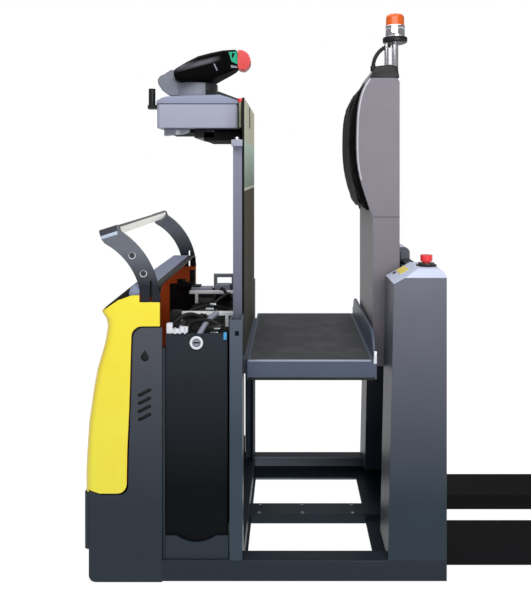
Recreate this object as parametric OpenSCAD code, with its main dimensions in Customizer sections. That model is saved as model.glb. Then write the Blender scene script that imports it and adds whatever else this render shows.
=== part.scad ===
// Order picker truck with a lifting operator platform, forks to the rear.
// Millimetres. +X points to the fork tips, -Y is the truck's left side, +Z is up.
// The origin lies on the floor, in the middle of the length and of the width.

/* [Overall] */
// Width over the side plates
truck_w = 800; // [720:10:900]
// Gap between the floor and the rails
ground_gap = 55; // [45:1:70]
// How far the front apron stands in front of the side plates
apron_reach = 18; // [12:1:40]
// Length of the drive bay, side plates' front to bulkhead
drive_bay = 234; // [230:1:300]
// Length of the battery bay, bulkhead to front posts
battery_bay = 216; // [216:1:320]
// Length of a front post along the truck
post_l = 41; // [36:1:60]
// Length of the open bay that holds the platform
platform_bay = 466; // [440:1:600]
// Length of a rear housing
housing_l = 188; // [180:1:240]
// Length of the forks behind the rear housings
fork_len = 1190; // [900:10:1600]

/* [Base frame] */
// Height of the side rails
rail_h = 69; // [55:1:100]
// Plate thickness of the rails, side plates and covers in the sides
plate_t = 8; // [5:1:12]
// Width of a rail's upper flange
rail_top_w = 54; // [40:1:80]
// Width of a rail's lower flange
rail_low_w = 118; // [80:1:140]
// Width of the centre beam
beam_w = 80; // [60:1:120]
// Underside of the centre beam above the floor
beam_z = 45; // [40:1:60]
// Height of the centre beam
beam_h = 35; // [25:1:45]
// How far the floor plate under the mast reaches in front of the housings
mast_foot = 30; // [20:1:40]
// Width of the floor strip behind the front posts
foot_strip = 8; // [4:1:20]
// Underside of the drive deck above the floor
deck_z = 250; // [250:1:290]
// Thickness of the drive deck
deck_t = 12; // [8:1:20]
// Top of the bulkhead between drive bay and battery bay
bulkhead_top = 800; // [600:10:840]

/* [Hood and side plates] */
// Bottom edge of the hood
hood_bottom = 338; // [320:1:380]
// Wall of the hood
hood_t = 5; // [4:1:8]
// Lower edge of the hood along the sides
hood_side_z = 873; // [840:1:890]
// Height of the hood's side edge at its rear end
hood_rear_z = 958; // [940:1:975]
// Rise of the top cover over the hood's side edge
cover_crown = 46; // [20:1:50]
// Gap between the hood and the side plates
seam_gap = 5; // [3:1:8]
// Underside of the front apron
apron_z = 158; // [120:1:200]
// Pitch of the louvres
louvre_pitch = 26; // [22:1:32]
// Length of a louvre
louvre_l = 47; // [30:1:60]
// Width of a louvre
louvre_w = 11; // [6:1:14]
// Number of louvres in a side plate
louvre_n = 4; // [2:1:6]

/* [Grab rail] */
// Radius of the arms' centre line
arm_r = 251.5; // [220:0.5:280]
// Width of an arm
arm_w = 60; // [40:1:70]
// Thickness of an arm
arm_t = 12; // [8:1:16]
// Foot of the arms above the floor
arm_foot_z = 950; // [940:1:960]
// Height of the grab bar
bar_h = 30; // [20:1:40]
// Thickness of the grab bar
bar_t = 6; // [4:1:12]

/* [Battery] */
// Width of the battery across the truck
battery_w = 624; // [500:1:700]
// Height of the battery
battery_h = 627; // [500:1:640]
// Underside of the battery
battery_z = 200; // [190:1:210]
// Top edge of the battery side panels
panel_top = 845; // [800:1:870]
// Outer diameter of a panel lock
lock_d = 42; // [30:1:50]
// Underside of the two battery hold-down bars
hold_z = 866; // [850:1:880]

/* [Front posts] */
// Width of a post across the truck
post_w = 60; // [50:1:70]
// Top of the posts
post_top = 893; // [870:1:900]
// Wall of the posts
post_t = 5; // [4:1:8]
// Depth of the guide channel on a post's inner side
guide_d = 30; // [26:1:40]

/* [Rear housings and mast] */
// Width of a rear housing
housing_w = 175; // [150:1:180]
// Top of the rear housings
housing_top = 1054; // [1040:1:1100]
// Bevel along a housing's outer top edge
housing_bevel = 26; // [10:1:40]
// Top of the plate between the housings
back_plate_top = 1005; // [980:1:1030]
// Thickness of the plate between the housings
back_plate_t = 12; // [8:1:16]
// Size of a mast channel along the truck
channel_l = 64; // [60:1:70]
// Depth of a mast channel
channel_d = 40; // [36:1:44]
// Wall of a mast channel
channel_t = 6; // [5:1:8]
// Diameter of the emergency stop button
stop_d = 40; // [30:1:45]

/* [Platform] */
// Top of the platform as it stands in the picture
floor_z = 750; // [740:1:780]
// Depth of the platform's side face
floor_h = 63; // [50:1:80]
// Width of the platform
floor_w = 700; // [660:1:720]
// Gap between the platform and the front posts
floor_gap = 12; // [8:1:20]
// Gap between the platform and the rear housings
floor_rear_gap = 29; // [20:1:40]
// Thickness of the platform's rubber mat
mat_t = 6; // [4:1:10]
// Height of the kick plate behind the operator's heels
kick_h = 82; // [60:1:120]

/* [Front frame and console] */
// Gap between the front frame and the guide channels
frame_gap = 5; // [4:1:12]
// Width of an upright
upright_w = 35; // [30:1:45]
// Size of an upright along the truck
upright_l = 30; // [25:1:32]
// Top of the uprights
upright_top = 1471; // [1440:1:1490]
// Lower end of the uprights
upright_low = 635; // [625:1:650]
// Length of the console
console_l = 286; // [240:1:320]
// Width of the console
console_w = 400; // [340:1:460]
// Underside of the console box
console_z = 1522; // [1500:1:1540]
// Height of the console box
console_h = 84; // [60:1:100]
// Height of the console's lid
lid_h = 44; // [30:1:60]
// Height of the lid's outer edge
lid_edge = 11; // [6:1:20]
// Diameter of the post that holds accessories on the console
accessory_d = 24; // [16:1:30]

/* [Tiller] */
// Diameter of the tiller's base
tiller_d = 164; // [140:1:180]
// Height of the tiller's base
tiller_base_h = 50; // [40:1:60]
// Width of the arm under the tiller head
tiller_arm_w = 120; // [80:1:160]
// Width of the tiller head
tiller_w = 260; // [220:1:300]

/* [Backrest] */
// Gap between the backrest column and a rear housing
back_gap = 20; // [10:1:40]
// Wall of the backrest's side shells
back_shell_t = 12; // [8:1:20]
// Top of the backrest shells
back_top = 1697; // [1650:1:1720]
// Height of the cap on the backrest
cap_h = 46; // [30:1:60]
// How far the cushion stands in front of its side shells
pad_proud = 17; // [10:1:30]
// Diameter of the beacon's dome
dome_d = 68; // [50:1:80]

/* [Wheels] */
// Diameter of the drive wheel
drive_d = 200; // [180:1:204]
// Width of the drive wheel's tyre
drive_w = 75; // [60:1:80]
// Diameter of the castor wheels
castor_d = 125; // [100:1:130]
// Width of the castor wheels
castor_w = 40; // [30:1:45]
// Trail of the castors
castor_trail = 30; // [20:1:34]
// Distance of the castor pivots from the middle
castor_y = 270; // [240:1:280]
// Diameter of the load rollers
roller_d = 74; // [70:1:76]
// Width of the load rollers
roller_w = 70; // [60:1:80]
// Length of the arms that carry the load rollers
load_arm_l = 181; // [170:1:200]
// Distance of the load rollers from the fork tips
roller_tip = 150; // [120:1:200]
// Radius of the axles of all wheels
axle_r = 10; // [8:1:12]
// Radial play of the axles in their bores
play = 0.05; // [0.02:0.01:0.08]

/* [Forks] */
// Width of a fork
fork_w = 180; // [150:1:200]
// Distance over both forks
fork_span = 540; // [520:1:560]
// Top of the forks as lowered
fork_top = 85; // [80:1:90]
// Underside of the forks as lowered
fork_low = 30; // [25:1:35]
// Plate thickness of the forks
fork_t = 8; // [6:1:10]
// Top of the fork carriage
carriage_top = 420; // [300:10:600]

/* [Hidden] */
$fn = 48;
half_w = truck_w / 2;
total_l = apron_reach + drive_bay + battery_bay + post_l + platform_bay + housing_l + fork_len;
x_front = -total_l / 2;
x_plate = x_front + apron_reach;
x_bulk = x_plate + drive_bay;
x_post = x_bulk + battery_bay;
x_bay = x_post + post_l;
x_house = x_bay + platform_bay;
x_rear = x_house + housing_l;
x_tip = x_rear + fork_len;
rail_top = ground_gap + rail_h;
bend_r = 7;
side_in = half_w - plate_t;
sill_t = 5.5;
panel_out = side_in - sill_t - 0.5;
panel_in = panel_out - plate_t;
x_drive = x_plate + (drive_bay + plate_t) / 2;
x_floor = x_bay + floor_gap;
x_floor_end = x_house - floor_rear_gap;
floor_bottom = floor_z - floor_h;
hood_in = half_w - hood_t;
cover_t = 6;
seat = 0.3;
kick_w = floor_w - 40;
kick_r = kick_h - 8;
post_in = half_w - post_w;
guide_in = post_in - guide_d;
house_in = half_w - housing_w;
channel_in = house_in - channel_d;
frame_w = 2 * (guide_in - frame_gap);
back_w = 2 * (house_in - back_gap);
x_channel = x_house + 79;
x_roller = x_channel + channel_l / 2;
column_front = x_floor_end + 6;
column_rear = x_channel - 8;
x_console = x_bay - 30;
x_beacon = column_rear - 12;
beacon_y = -back_w / 2 + 55;
stand_h = 81;
lamp_h = 41;
dome_h = 42;
conduit_r = 78;
console_top = console_z + console_h;
x_tiller = x_console - 175;
tiller_z = console_top + lid_h + 0.5;
spindle_r = 20;
spindle_h = 30;
x_load = x_tip - roller_tip;
arm_drop = 19;
x_pivot = x_load - sqrt(load_arm_l * load_arm_l - arm_drop * arm_drop);
pivot_z = roller_d / 2 + arm_drop;
fork_y = (fork_span - fork_w) / 2;
carriage_gap = 5;
x_carriage = x_rear + carriage_gap;
carriage_t = 12;
heel_step = 0.5;
gusset_l = 14;
x_arm_c = x_bulk - 287.5;
arm_c_z = 942;

// Points of an arc about (cx, cz), from angle a0 to a1 in n steps.
function arc(cx, cz, r, a0, a1, n) =
    [for (i = [0:n]) let (a = a0 + (a1 - a0) * i / n) [cx + r * cos(a), cz + r * sin(a)]];

// A block between two corners.
module block(x0, x1, y0, y1, z0, z1) {
    translate([x0, y0, z0]) cube([x1 - x0, y1 - y0, z1 - z0]);
}

// A side view outline in X and Z, made thick from y0 to y1.
module side(y0, y1) {
    translate([0, y1, 0]) rotate([90, 0, 0]) linear_extrude(y1 - y0) children();
}

// The same thing on both sides of the truck.
module pair() {
    children();
    mirror([0, 1, 0]) children();
}

// A round bar along Y.
module bar_y(x, z, r, y0, y1) {
    translate([x, y0, z]) rotate([-90, 0, 0]) cylinder(h = y1 - y0, r = r);
}

// A rectangle with round corners, between two corners.
module round_rect(x0, x1, y0, y1, r) {
    translate([x0 + r, y0]) square([x1 - x0 - 2 * r, y1 - y0]);
    translate([x0, y0 + r]) square([x1 - x0, y1 - y0 - 2 * r]);
    for (x = [x0 + r, x1 - r], y = [y0 + r, y1 - r]) translate([x, y]) circle(r = r);
}

// Edge between hood and side plate, from the rear top round to the front, moved by d.
function seam(d) = [for (p = concat(
        [[drive_bay, hood_side_z]],
        arc(170, hood_side_z - 34, 34, 90, 172, 5),
        [[129, hood_side_z - 267], [123, hood_bottom + 140]],
        arc(91, hood_bottom + 30, 30, 0, -90, 5),
        [[35, hood_bottom], [-8, hood_bottom + 14]]))
    [x_plate + p[0] + d, p[1] - d]];

// Upper edge of the hood's sides, rear end first.
function hood_edge() = [
    [x_bulk - 7, hood_rear_z], [x_bulk - 71, hood_rear_z + 14], [x_bulk - 96, hood_rear_z + 14],
    [x_bulk - 141, hood_rear_z - 2], [x_bulk - 191, hood_rear_z - 36]];

// Fronts of the hood's level sections: height above its bottom, set-back from the side plates.
hood_sections = [[0, -14], [62, -15], [127, -12], [225, -5.5], [290, 4], [338, 11], [393, 21], [458, 40],
    [484, 47], [533, 55], [556, 50], [578, 36], [640, 36]];

// A closed body lofted through the hood's sections, d inside the outer face.
module hood_loft(d) {
    r = 28;
    for (i = [0:len(hood_sections) - 2])
        hull()
            for (s = [hood_sections[i], hood_sections[i + 1]], y = [-1, 1])
                translate([x_plate + s[1] + r + d, y * (half_w - r - d), hood_bottom + s[0]]) {
                    cylinder(h = 0.01, r = r, $fn = 32);
                    translate([drive_bay - s[1] - 2 * r - d + 2 * d, -y * r / 2 - r / 2 + y * r, 0])
                        cube([r, r, 0.01]);
                }
}

// Room for the feet of the grab arms in the hood, with a gap g.
module arm_room(g) {
    pair() block(x_bulk - 72 - g, x_bulk + 1, -half_w - 1, -half_w + arm_t + g,
        arm_foot_z - g, arm_foot_z + 200);
}

// Space under the hood's upper edge, raised by d.
module under_edge(d, y) {
    side(-y, y) polygon(concat(
        [for (p = hood_edge()) [p[0] + (p[0] > x_bulk - 10 ? 20 : 0), p[1] + d]],
        [[x_plate - 40, hood_rear_z - 50 + d], [x_plate - 40, hood_bottom - 1], [x_bulk + 13, hood_bottom - 1]]));
}

// Section of the left rail, a bent channel open to the inside.
module rail_section() polygon(concat(
    arc(-half_w + bend_r, rail_top - bend_r, bend_r, 180, 90, 6),
    [[-half_w + rail_top_w, rail_top], [-half_w + rail_top_w, rail_top - plate_t], [-side_in, rail_top - plate_t],
     [-side_in, ground_gap + plate_t], [-half_w + rail_low_w, ground_gap + plate_t],
     [-half_w + rail_low_w, ground_gap]],
    arc(-half_w + bend_r, ground_gap + bend_r, bend_r, 270, 180, 6)));

module base_frame() color("#3a4048") difference() {
    union() {
        pair() translate([x_bulk, 0, 0]) rotate([90, 0, 90]) linear_extrude(x_rear - x_bulk) rail_section();
        block(x_bulk, x_bulk + plate_t, -side_in, side_in, ground_gap, bulkhead_top);
        for (x = [x_bulk + 30, x_post - 50])
            block(x, x + 40, -panel_in + 4, panel_in - 4, ground_gap + plate_t - 1, battery_z);
        block(x_post, x_bay, -side_in, side_in, ground_gap, rail_top);
        block(x_rear - 50, x_rear - back_plate_t, -side_in, side_in, ground_gap, rail_top);
        block(x_bay - 1, x_bay + foot_strip, -side_in, side_in, ground_gap, ground_gap + plate_t);
        block(x_house - mast_foot, x_rear - 49, -side_in, side_in, ground_gap, ground_gap + plate_t);
        block(x_bay - 1, x_rear - 49, -beam_w / 2, beam_w / 2, beam_z, beam_z + beam_h);
        block(x_plate, x_bulk + 1, -side_in, side_in, deck_z, deck_z + deck_t);
        block(x_plate, x_plate + plate_t, -side_in, side_in, apron_z, hood_bottom - 10);
        pair() translate([x_drive, -castor_y, 0])
            translate([-60, -60, 190]) cube([120, 120, deck_z - 189]);
    }
    translate([x_drive, 0, deck_z - 1]) cylinder(h = deck_t + 2, r = 45);
    pair() translate([x_drive, -castor_y, 180]) cylinder(h = deck_z + deck_t - 179, r = 15);
}

module side_plates() color("#3d434d") pair() difference() {
    side(-half_w, -side_in) intersection() {
        polygon(concat(
            [[x_bulk, ground_gap]], seam(seam_gap),
            arc(x_plate + 22, ground_gap + 22, 22, 180, 270, 6)));
        translate([x_plate, ground_gap]) square([drive_bay, hood_side_z]);
    }
    for (i = [0:louvre_n - 1])
        translate([x_bulk - 56, -half_w - 1, 583 + i * louvre_pitch])
            rotate([0, -28, 0]) side(0, plate_t + 2)
                round_rect(-louvre_l / 2, louvre_l / 2, -louvre_w / 2, louvre_w / 2, louvre_w / 2 - 0.01);
    translate([x_bulk - 55, -half_w - 1, 773]) {
        bar_y(0, 0, 13, 0, plate_t + 2);
        side(0, plate_t + 2) polygon([[-12, 6], [0, 24], [12, 6]]);
    }
}

module front_apron() color("#343a43")
    translate([0, 0, apron_z]) linear_extrude(hood_bottom - 2 - apron_z) difference() {
        round_rect(x_front, x_plate + 30, -half_w + 5, half_w - 5, 16);
        translate([x_plate, -half_w]) square([60, truck_w]);
    }

module hood() color("#f2c81e") difference() {
    intersection() {
        hood_loft(0);
        under_edge(0, half_w + 1);
    }
    hood_loft(hood_t);
    pair() side(-half_w - 1, -side_in + 1) polygon(concat(
        [[x_bulk + 5, hood_bottom - 20]], [for (p = seam(0)) p], [[x_plate - 30, hood_bottom - 20]]));
    block(x_bulk - 7, x_bulk + 60, -half_w - 1, half_w + 1, 0, hood_rear_z + 100);
    block(x_plate - 30, x_bulk + 20, -half_w + hood_t, half_w - hood_t, hood_bottom - 1, hood_bottom + 0.5);
    arm_room(seat);
}

// Half widths and rises of the top cover's cross section.
cover_rows = [[0, 0], [4, 0.55], [22, 0.88], [60, 1]];

// A slice of the top cover: station, height of its edge, rise, drop of the whole slice.
module cover_slice(x, z, rise, d) {
    translate([x, 0, 0]) rotate([90, 0, 90]) linear_extrude(1)
        polygon(concat(
            [for (r = cover_rows) [-half_w + r[0] + d, z + r[1] * rise - d]],
            [for (i = [len(cover_rows) - 1:-1:0]) [half_w - cover_rows[i][0] - d, z + cover_rows[i][1] * rise - d]],
            [[half_w - d, 880], [-half_w + d, 880]]));
}

module cover_body(d) {
    hull() {
        cover_slice(x_bulk - 8 + (d > 0 ? 3 : 0), hood_rear_z, cover_crown, d);
        cover_slice(x_bulk - 96, hood_rear_z + 14, cover_crown - 14, d);
    }
    hull() {
        cover_slice(x_bulk - 96, hood_rear_z + 14, cover_crown - 14, d);
        cover_slice(x_bulk - 186 + (d > 0 ? 12 : 0), hood_rear_z - 36, 10, d);
    }
}

module hood_top_cover() color("#26282c") difference() {
    cover_body(0);
    cover_body(cover_t);
    under_edge(seat, half_w + 2);
    arm_room(seat);
}

module grab_arms() color("#4a5058") pair() side(-half_w, -half_w + arm_t) difference() {
    union() {
        polygon(concat(
            arc(x_arm_c, arm_c_z, arm_r + arm_w / 2, 5, 60, 14),
            arc(x_arm_c, arm_c_z, arm_r - arm_w / 2, 60, 5, 14)));
        polygon([
            [x_arm_c + (arm_r - arm_w / 2) * cos(5), arm_c_z + (arm_r - arm_w / 2) * sin(5)],
            [x_arm_c + (arm_r + arm_w / 2) * cos(5), arm_c_z + (arm_r + arm_w / 2) * sin(5)],
            [x_arm_c + (arm_r + arm_w / 2), arm_foot_z], [x_arm_c + (arm_r - arm_w / 2), arm_foot_z]]);
        translate([x_arm_c + arm_r * cos(60), arm_c_z + arm_r * sin(60)]) rotate(18)
            translate([-33, -2]) square([66, 28]);
    }
    translate([x_arm_c + arm_r - 3, arm_foot_z - 1]) square([7, 70]);
}

module grab_bar() color("#c9ccd0") translate([x_bulk - 141, 0, arm_c_z + 224])
    block(-bar_t / 2, bar_t / 2, -half_w + arm_t, half_w - arm_t, 0, bar_h);

module battery() color("#1c1e21") difference() {
    union() {
        block(x_bulk + 12, x_post - 8, -battery_w / 2, battery_w / 2, battery_z, battery_z + battery_h - 14);
        for (i = [0:11])
            block(x_bulk + 17, x_post - 13, -battery_w / 2 + 6 + i * (battery_w - 12) / 12,
                -battery_w / 2 + 2 + (i + 1) * (battery_w - 12) / 12, battery_z + battery_h - 15,
                battery_z + battery_h);
    }
    for (y = [-battery_w / 2 + 60, battery_w / 2 - 60])
        translate([(x_bulk + x_post) / 2, y, battery_z + battery_h - 10]) cylinder(h = 20, r = 9);
}

module battery_panels() color("#3b4049") pair() difference() {
    union() {
        block(x_bulk + 9, x_post - 8, -panel_out, -panel_in, rail_top + seat, panel_top);
        bar_y((x_bulk + x_post) / 2 + 1, panel_top - 27, lock_d / 2, -panel_out - 5, -panel_in + 6);
    }
    bar_y((x_bulk + x_post) / 2 + 1, panel_top - 27, lock_d / 2 - 8, -panel_out - 6, -panel_out - 1);
}

module battery_sills() color("#4a505b") pair() side(-side_in, -side_in + sill_t) difference() {
    translate([x_bulk + 9, rail_top]) square([battery_bay - 13, battery_z - 1 - rail_top]);
    translate([(x_bulk + x_post) / 2, rail_top + 158]) circle(r = 104);
}

module battery_bars() color("#c2c6cc") {
    for (y = [-200, 200]) {
        block(x_bulk - 4, x_post - 2, y - 15, y + 15, hold_z, hold_z + 10);
        for (x = [x_bulk + 20, x_post - 32])
            block(x, x + 12, y - 15, y + 15, battery_z + battery_h, hold_z);
    }
    translate([x_bulk + 84, 0, 0]) difference() {
        block(0, 90, 296, 312, battery_z + battery_h, 930);
        block(14, 76, 290, 320, 888, 916);
    }
}

module battery_leads() color("#17181a") {
    top = battery_z + battery_h;
    for (y = [-252, 252]) translate([(x_bulk + x_post) / 2, y, 0]) {
        translate([0, 0, top - 9.7]) cylinder(h = 54.7, r = 8);
        translate([0, 0, top + 45]) sphere(r = 10);
        translate([0, 0, top + 45]) rotate([0, -90, 0]) cylinder(h = 85, r = 7.5);
        translate([-105, -22, top + 30]) cube([32, 44, 34]);
    }
}

module front_posts() color("#4b525e") pair() difference() {
    union() {
        block(x_post, x_bay, -half_w, -post_in, rail_top, post_top);
        block(x_post + 3, x_bay - 3, -post_in - 1, -guide_in, rail_top, post_top);
    }
    block(x_post + post_t, x_bay - post_t, -half_w + post_t, -post_in - post_t, rail_top + 10, post_top + 1);
    block(x_post + 3 + post_t, x_bay - 3 - post_t, -post_in, -guide_in + 1, rail_top - 1, post_top + 1);
    block(x_bay - 24, x_bay - 11, -half_w - 1, -half_w + post_t + 1, post_top - 51, post_top - 35);
}

module rear_housings() color("#4f5662") pair() difference() {
    housing_body();
    block(x_house + 30, x_rear - 8, -half_w + 8, -house_in - 8, rail_top - 1, housing_top - 60);
}

// Left rear housing as a full body.
module housing_body() intersection() {
    side(-half_w - 1, -house_in) polygon(concat(
        [[x_house, rail_top], [x_house + 19, housing_top - 46], [x_house + 102, housing_top]],
        arc(x_rear - 24, housing_top - 24, 24, 90, 0, 6),
        [[x_rear, rail_top]]));
    translate([x_house - 1, 0, 0]) rotate([90, 0, 90]) linear_extrude(housing_l + 2) polygon([
        [-half_w, rail_top], [-house_in, rail_top], [-house_in, housing_top + 5],
        [-half_w + housing_bevel, housing_top + 5], [-half_w + housing_bevel, housing_top],
        [-half_w, housing_top - housing_bevel]]);
}

module rear_mast() color("#3a4048") {
    pair() difference() {
        block(x_channel, x_channel + channel_l, -house_in, -channel_in, rail_top, back_plate_top + 35);
        block(x_channel + channel_t, x_channel + channel_l - channel_t, -house_in + channel_t, -channel_in + 1,
            rail_top - 1, back_plate_top + 36);
    }
    block(x_rear - back_plate_t, x_rear, -house_in, house_in, ground_gap, back_plate_top);
    block(x_rear - 42, x_rear - back_plate_t + 1, -house_in, house_in, back_plate_top - 12, back_plate_top);
}

module emergency_stop() color("#d21f26") translate([x_rear - 46, -half_w + 90, housing_top]) {
    cylinder(h = 10, r = 27);
    translate([0, 0, 9]) cylinder(h = 8, r = 13);
    translate([0, 0, 16]) cylinder(h = 20, r = stop_d / 2);
}

module drive_turret() color("#2b2e33") translate([x_drive, 0, 0]) {
    pair() difference() {
        side(-drive_w / 2 - 22, -drive_w / 2 - 6) {
            translate([-45, drive_d / 2]) square([90, deck_z - 8 - drive_d / 2]);
            translate([0, drive_d / 2]) circle(r = 45);
        }
        bar_y(0, drive_d / 2, axle_r - 1, -drive_w, 0);
    }
    bar_y(0, drive_d / 2, axle_r, -drive_w / 2 - 22, drive_w / 2 + 22);
    translate([-45, -drive_w / 2 - 22, drive_d + 18]) cube([90, drive_w + 44, deck_z - 8 - drive_d - 18]);
    translate([0, 0, deck_z - 9]) cylinder(h = 9 - seat, r = 60);
    translate([0, 0, deck_z - 9]) cylinder(h = deck_t + 20, r = 45 - play);
    translate([0, 0, deck_z + deck_t + 8]) cylinder(h = 240, r = 75);
}

module drive_wheel() color("#1d1d1f") translate([x_drive, 0, drive_d / 2]) difference() {
    union() {
        bar_y(0, 0, drive_d / 2 - 14, -drive_w / 2 + 4, drive_w / 2 - 4);
        bar_y(0, 0, drive_d / 2, -drive_w / 2 + 6, drive_w / 2 - 6);
        bar_y(0, 0, drive_d / 2 - 4, -drive_w / 2, drive_w / 2);
    }
    bar_y(0, 0, axle_r + play, -drive_w, drive_w);
    for (y = [-1, 1]) bar_y(0, 0, drive_d / 2 - 30, y > 0 ? drive_w / 2 - 14 : -drive_w, y > 0 ? drive_w : -drive_w / 2 + 14);
}

module castor_fork(y) color("#8b9097") translate([x_drive, y, 0]) {
    for (s = [-1, 1]) difference() {
        side(s * (castor_w / 2 + 7) - 4, s * (castor_w / 2 + 7) + 4) polygon(concat(
            [[-25, 176], [-25, 150]], arc(castor_trail, castor_d / 2, 18, 200, 360, 8),
            [[35, 150], [35, 176]]));
        bar_y(castor_trail, castor_d / 2, axle_r - 2, -castor_w, castor_w);
    }
    bar_y(castor_trail, castor_d / 2, axle_r, -castor_w / 2 - 11, castor_w / 2 + 11);
    translate([-25, -castor_w / 2 - 11, 168]) cube([60, castor_w + 22, 8]);
    translate([0, 0, 175]) cylinder(h = 15 - seat, r = 28);
    translate([0, 0, 180]) cylinder(h = deck_z + deck_t - 170, r = 15 - play);
}

module castor_wheel(y) color("#2a2a2c") translate([x_drive + castor_trail, y, castor_d / 2]) difference() {
    union() {
        bar_y(0, 0, castor_d / 2, -castor_w / 2 + 3, castor_w / 2 - 3);
        bar_y(0, 0, castor_d / 2 - 4, -castor_w / 2, castor_w / 2);
    }
    bar_y(0, 0, axle_r + play, -castor_w, castor_w);
}

module fork_carriage() color("#1f2124") difference() {
    union() {
        block(x_carriage, x_carriage + carriage_t, -fork_span / 2, fork_span / 2, fork_low, carriage_top);
        pair() block(x_rear + seat, x_carriage + 1, -house_in + 15, -house_in + 75, rail_top + 6, carriage_top - 20);
        pair() for (y = [fork_y - fork_w / 2 + 12, fork_y + fork_w / 2 - 24])
            side(-y - 12, -y) polygon([
                [x_carriage + carriage_t - 1, fork_top - heel_step + seat],
                [x_carriage + carriage_t + gusset_l, fork_top - heel_step + seat],
                [x_carriage + carriage_t + gusset_l, fork_top + 60], [x_carriage + carriage_t - 1, fork_top + 190]]);
    }
    block(x_rear - 1, x_carriage + carriage_t + 1, -fork_y + fork_w / 2 + 20, fork_y - fork_w / 2 - 20,
        fork_top + 60, carriage_top - 50);
}

// One fork: a channel open below, round at the tip in plan, with the load arm's pin across it.
module fork(y) color("#1f2124") translate([0, y, 0]) {
    difference() {
        translate([0, 0, fork_low]) linear_extrude(fork_top - fork_low) {
            translate([x_carriage + carriage_t, -fork_w / 2])
                square([x_tip - 60 - x_carriage - carriage_t, fork_w]);
            polygon(concat(
                arc(x_tip - 60, -fork_w / 2 + 60, 60, -90, 0, 8),
                arc(x_tip - 60, fork_w / 2 - 60, 60, 0, 90, 8),
                [[x_tip - 61, fork_w / 2], [x_tip - 61, -fork_w / 2]]));
        }
        block(x_carriage + carriage_t - 1, x_tip - 70, -fork_w / 2 + fork_t, fork_w / 2 - fork_t,
            fork_low - 1, fork_top - fork_t);
        block(x_carriage, x_carriage + carriage_t + gusset_l + 4, -fork_w, fork_w, fork_top - heel_step, fork_top + 1);
        side(-fork_w, fork_w) polygon([
            [x_tip - 55, fork_low - 1], [x_tip + 1, fork_low - 1], [x_tip + 1, fork_low + 32]]);
    }
    bar_y(x_pivot, pivot_z, axle_r, -fork_w / 2 + fork_t - 1, fork_w / 2 - fork_t + 1);
}

// The arm that carries a load roller: two bars, a web and the roller's axle.
module load_arm(y) color("#3a3d42") translate([0, y, 0]) {
    difference() {
        union() {
            for (s = [-1, 1])
                side(s * (roller_w / 2 + 8) - 5, s * (roller_w / 2 + 8) + 5) polygon(concat(
                    arc(x_pivot, pivot_z, 16, 84, 276, 10), arc(x_load, roller_d / 2, 16, -84, 84, 10)));
            side(-roller_w / 2 - 4, roller_w / 2 + 4) polygon(concat(
                arc(x_pivot, pivot_z, 16, 84, 276, 10),
                [[x_load - roller_d / 2 - 20, pivot_z - 26], [x_load - roller_d / 2 - 20, pivot_z + 5]]));
        }
        bar_y(x_pivot, pivot_z, axle_r + play, -fork_w, fork_w);
    }
    bar_y(x_load, roller_d / 2, axle_r, -roller_w / 2 - 4, roller_w / 2 + 4);
}

module load_roller(y) color("#c8a04a") translate([x_load, y, roller_d / 2]) difference() {
    union() {
        bar_y(0, 0, roller_d / 2, -roller_w / 2 + 5, roller_w / 2 - 5);
        bar_y(0, 0, roller_d / 2 - 4, -roller_w / 2 + 1, roller_w / 2 - 1);
    }
    bar_y(0, 0, axle_r + play, -roller_w, roller_w);
}

module platform_floor() color("#454c58") difference() {
    union() {
        block(x_floor, x_floor_end, -floor_w / 2, floor_w / 2, floor_bottom, floor_z);
        block(x_floor_end - 1, column_front, -back_w / 2, back_w / 2, floor_bottom, floor_z);
        translate([x_floor_end - 10, 0, floor_z - 1]) rotate([90, 0, 90]) linear_extrude(8) polygon(concat(
            [[-kick_w / 2, 0], [kick_w / 2, 0]],
            arc(kick_w / 2 - kick_r, kick_h + 1 - kick_r, kick_r, 0, 90, 10),
            arc(-kick_w / 2 + kick_r, kick_h + 1 - kick_r, kick_r, 90, 180, 10)));
    }
    block(x_floor + 8, x_floor_end - 12, -floor_w / 2 + 8, floor_w / 2 - 8, floor_bottom - 1, floor_z - 12);
    block(x_floor + 9, x_floor_end - 20, -floor_w / 2 + 9, floor_w / 2 - 9, floor_z - mat_t, floor_z + 1);
}

module platform_mat() color("#191a1c")
    block(x_floor + 9 + seat, x_floor_end - 20 - seat, -floor_w / 2 + 9 + seat, floor_w / 2 - 9 - seat,
        floor_z - mat_t, floor_z + 1);

module front_frame() color("#4b525e") {
    x = x_bay - 8 - upright_l;
    pair() {
        block(x, x + upright_l, -frame_w / 2, -frame_w / 2 + upright_w, upright_low, upright_top);
        block(x_post + 9, x_bay - 9, -frame_w / 2 - guide_d + 4, -frame_w / 2 + 1, upright_low, upright_low + 50);
    }
    block(x, x_floor, -frame_w / 2, frame_w / 2, floor_bottom + 5, floor_z - 10);
    block(x, x + upright_l, -frame_w / 2, frame_w / 2, upright_top - 35, upright_top);
    pair() block(x - 20, x + upright_l, -130, -100, upright_top - 1, console_z - seat);
    block(x_console - 126, x_console + 6, -150, 150, console_z - 42, console_z - 12);
    block(x_console - 270, x_console + 10, -120, 120, console_z - 13, console_z - seat);
}

module front_panel() color("#40454c")
    block(x_bay - 8 + seat, x_bay, -frame_w / 2, frame_w / 2, floor_z + 4, console_top + 10);

module console_box() color("#aeb0c4") difference() {
    translate([0, 0, console_z]) linear_extrude(console_h)
        round_rect(x_console - console_l, x_console, -console_w / 2, console_w / 2, 14);
    translate([0, 0, console_z + 5]) linear_extrude(console_h)
        round_rect(x_console - console_l + 5, x_console - 5, -console_w / 2 + 5, console_w / 2 - 5, 10);
}

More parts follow.
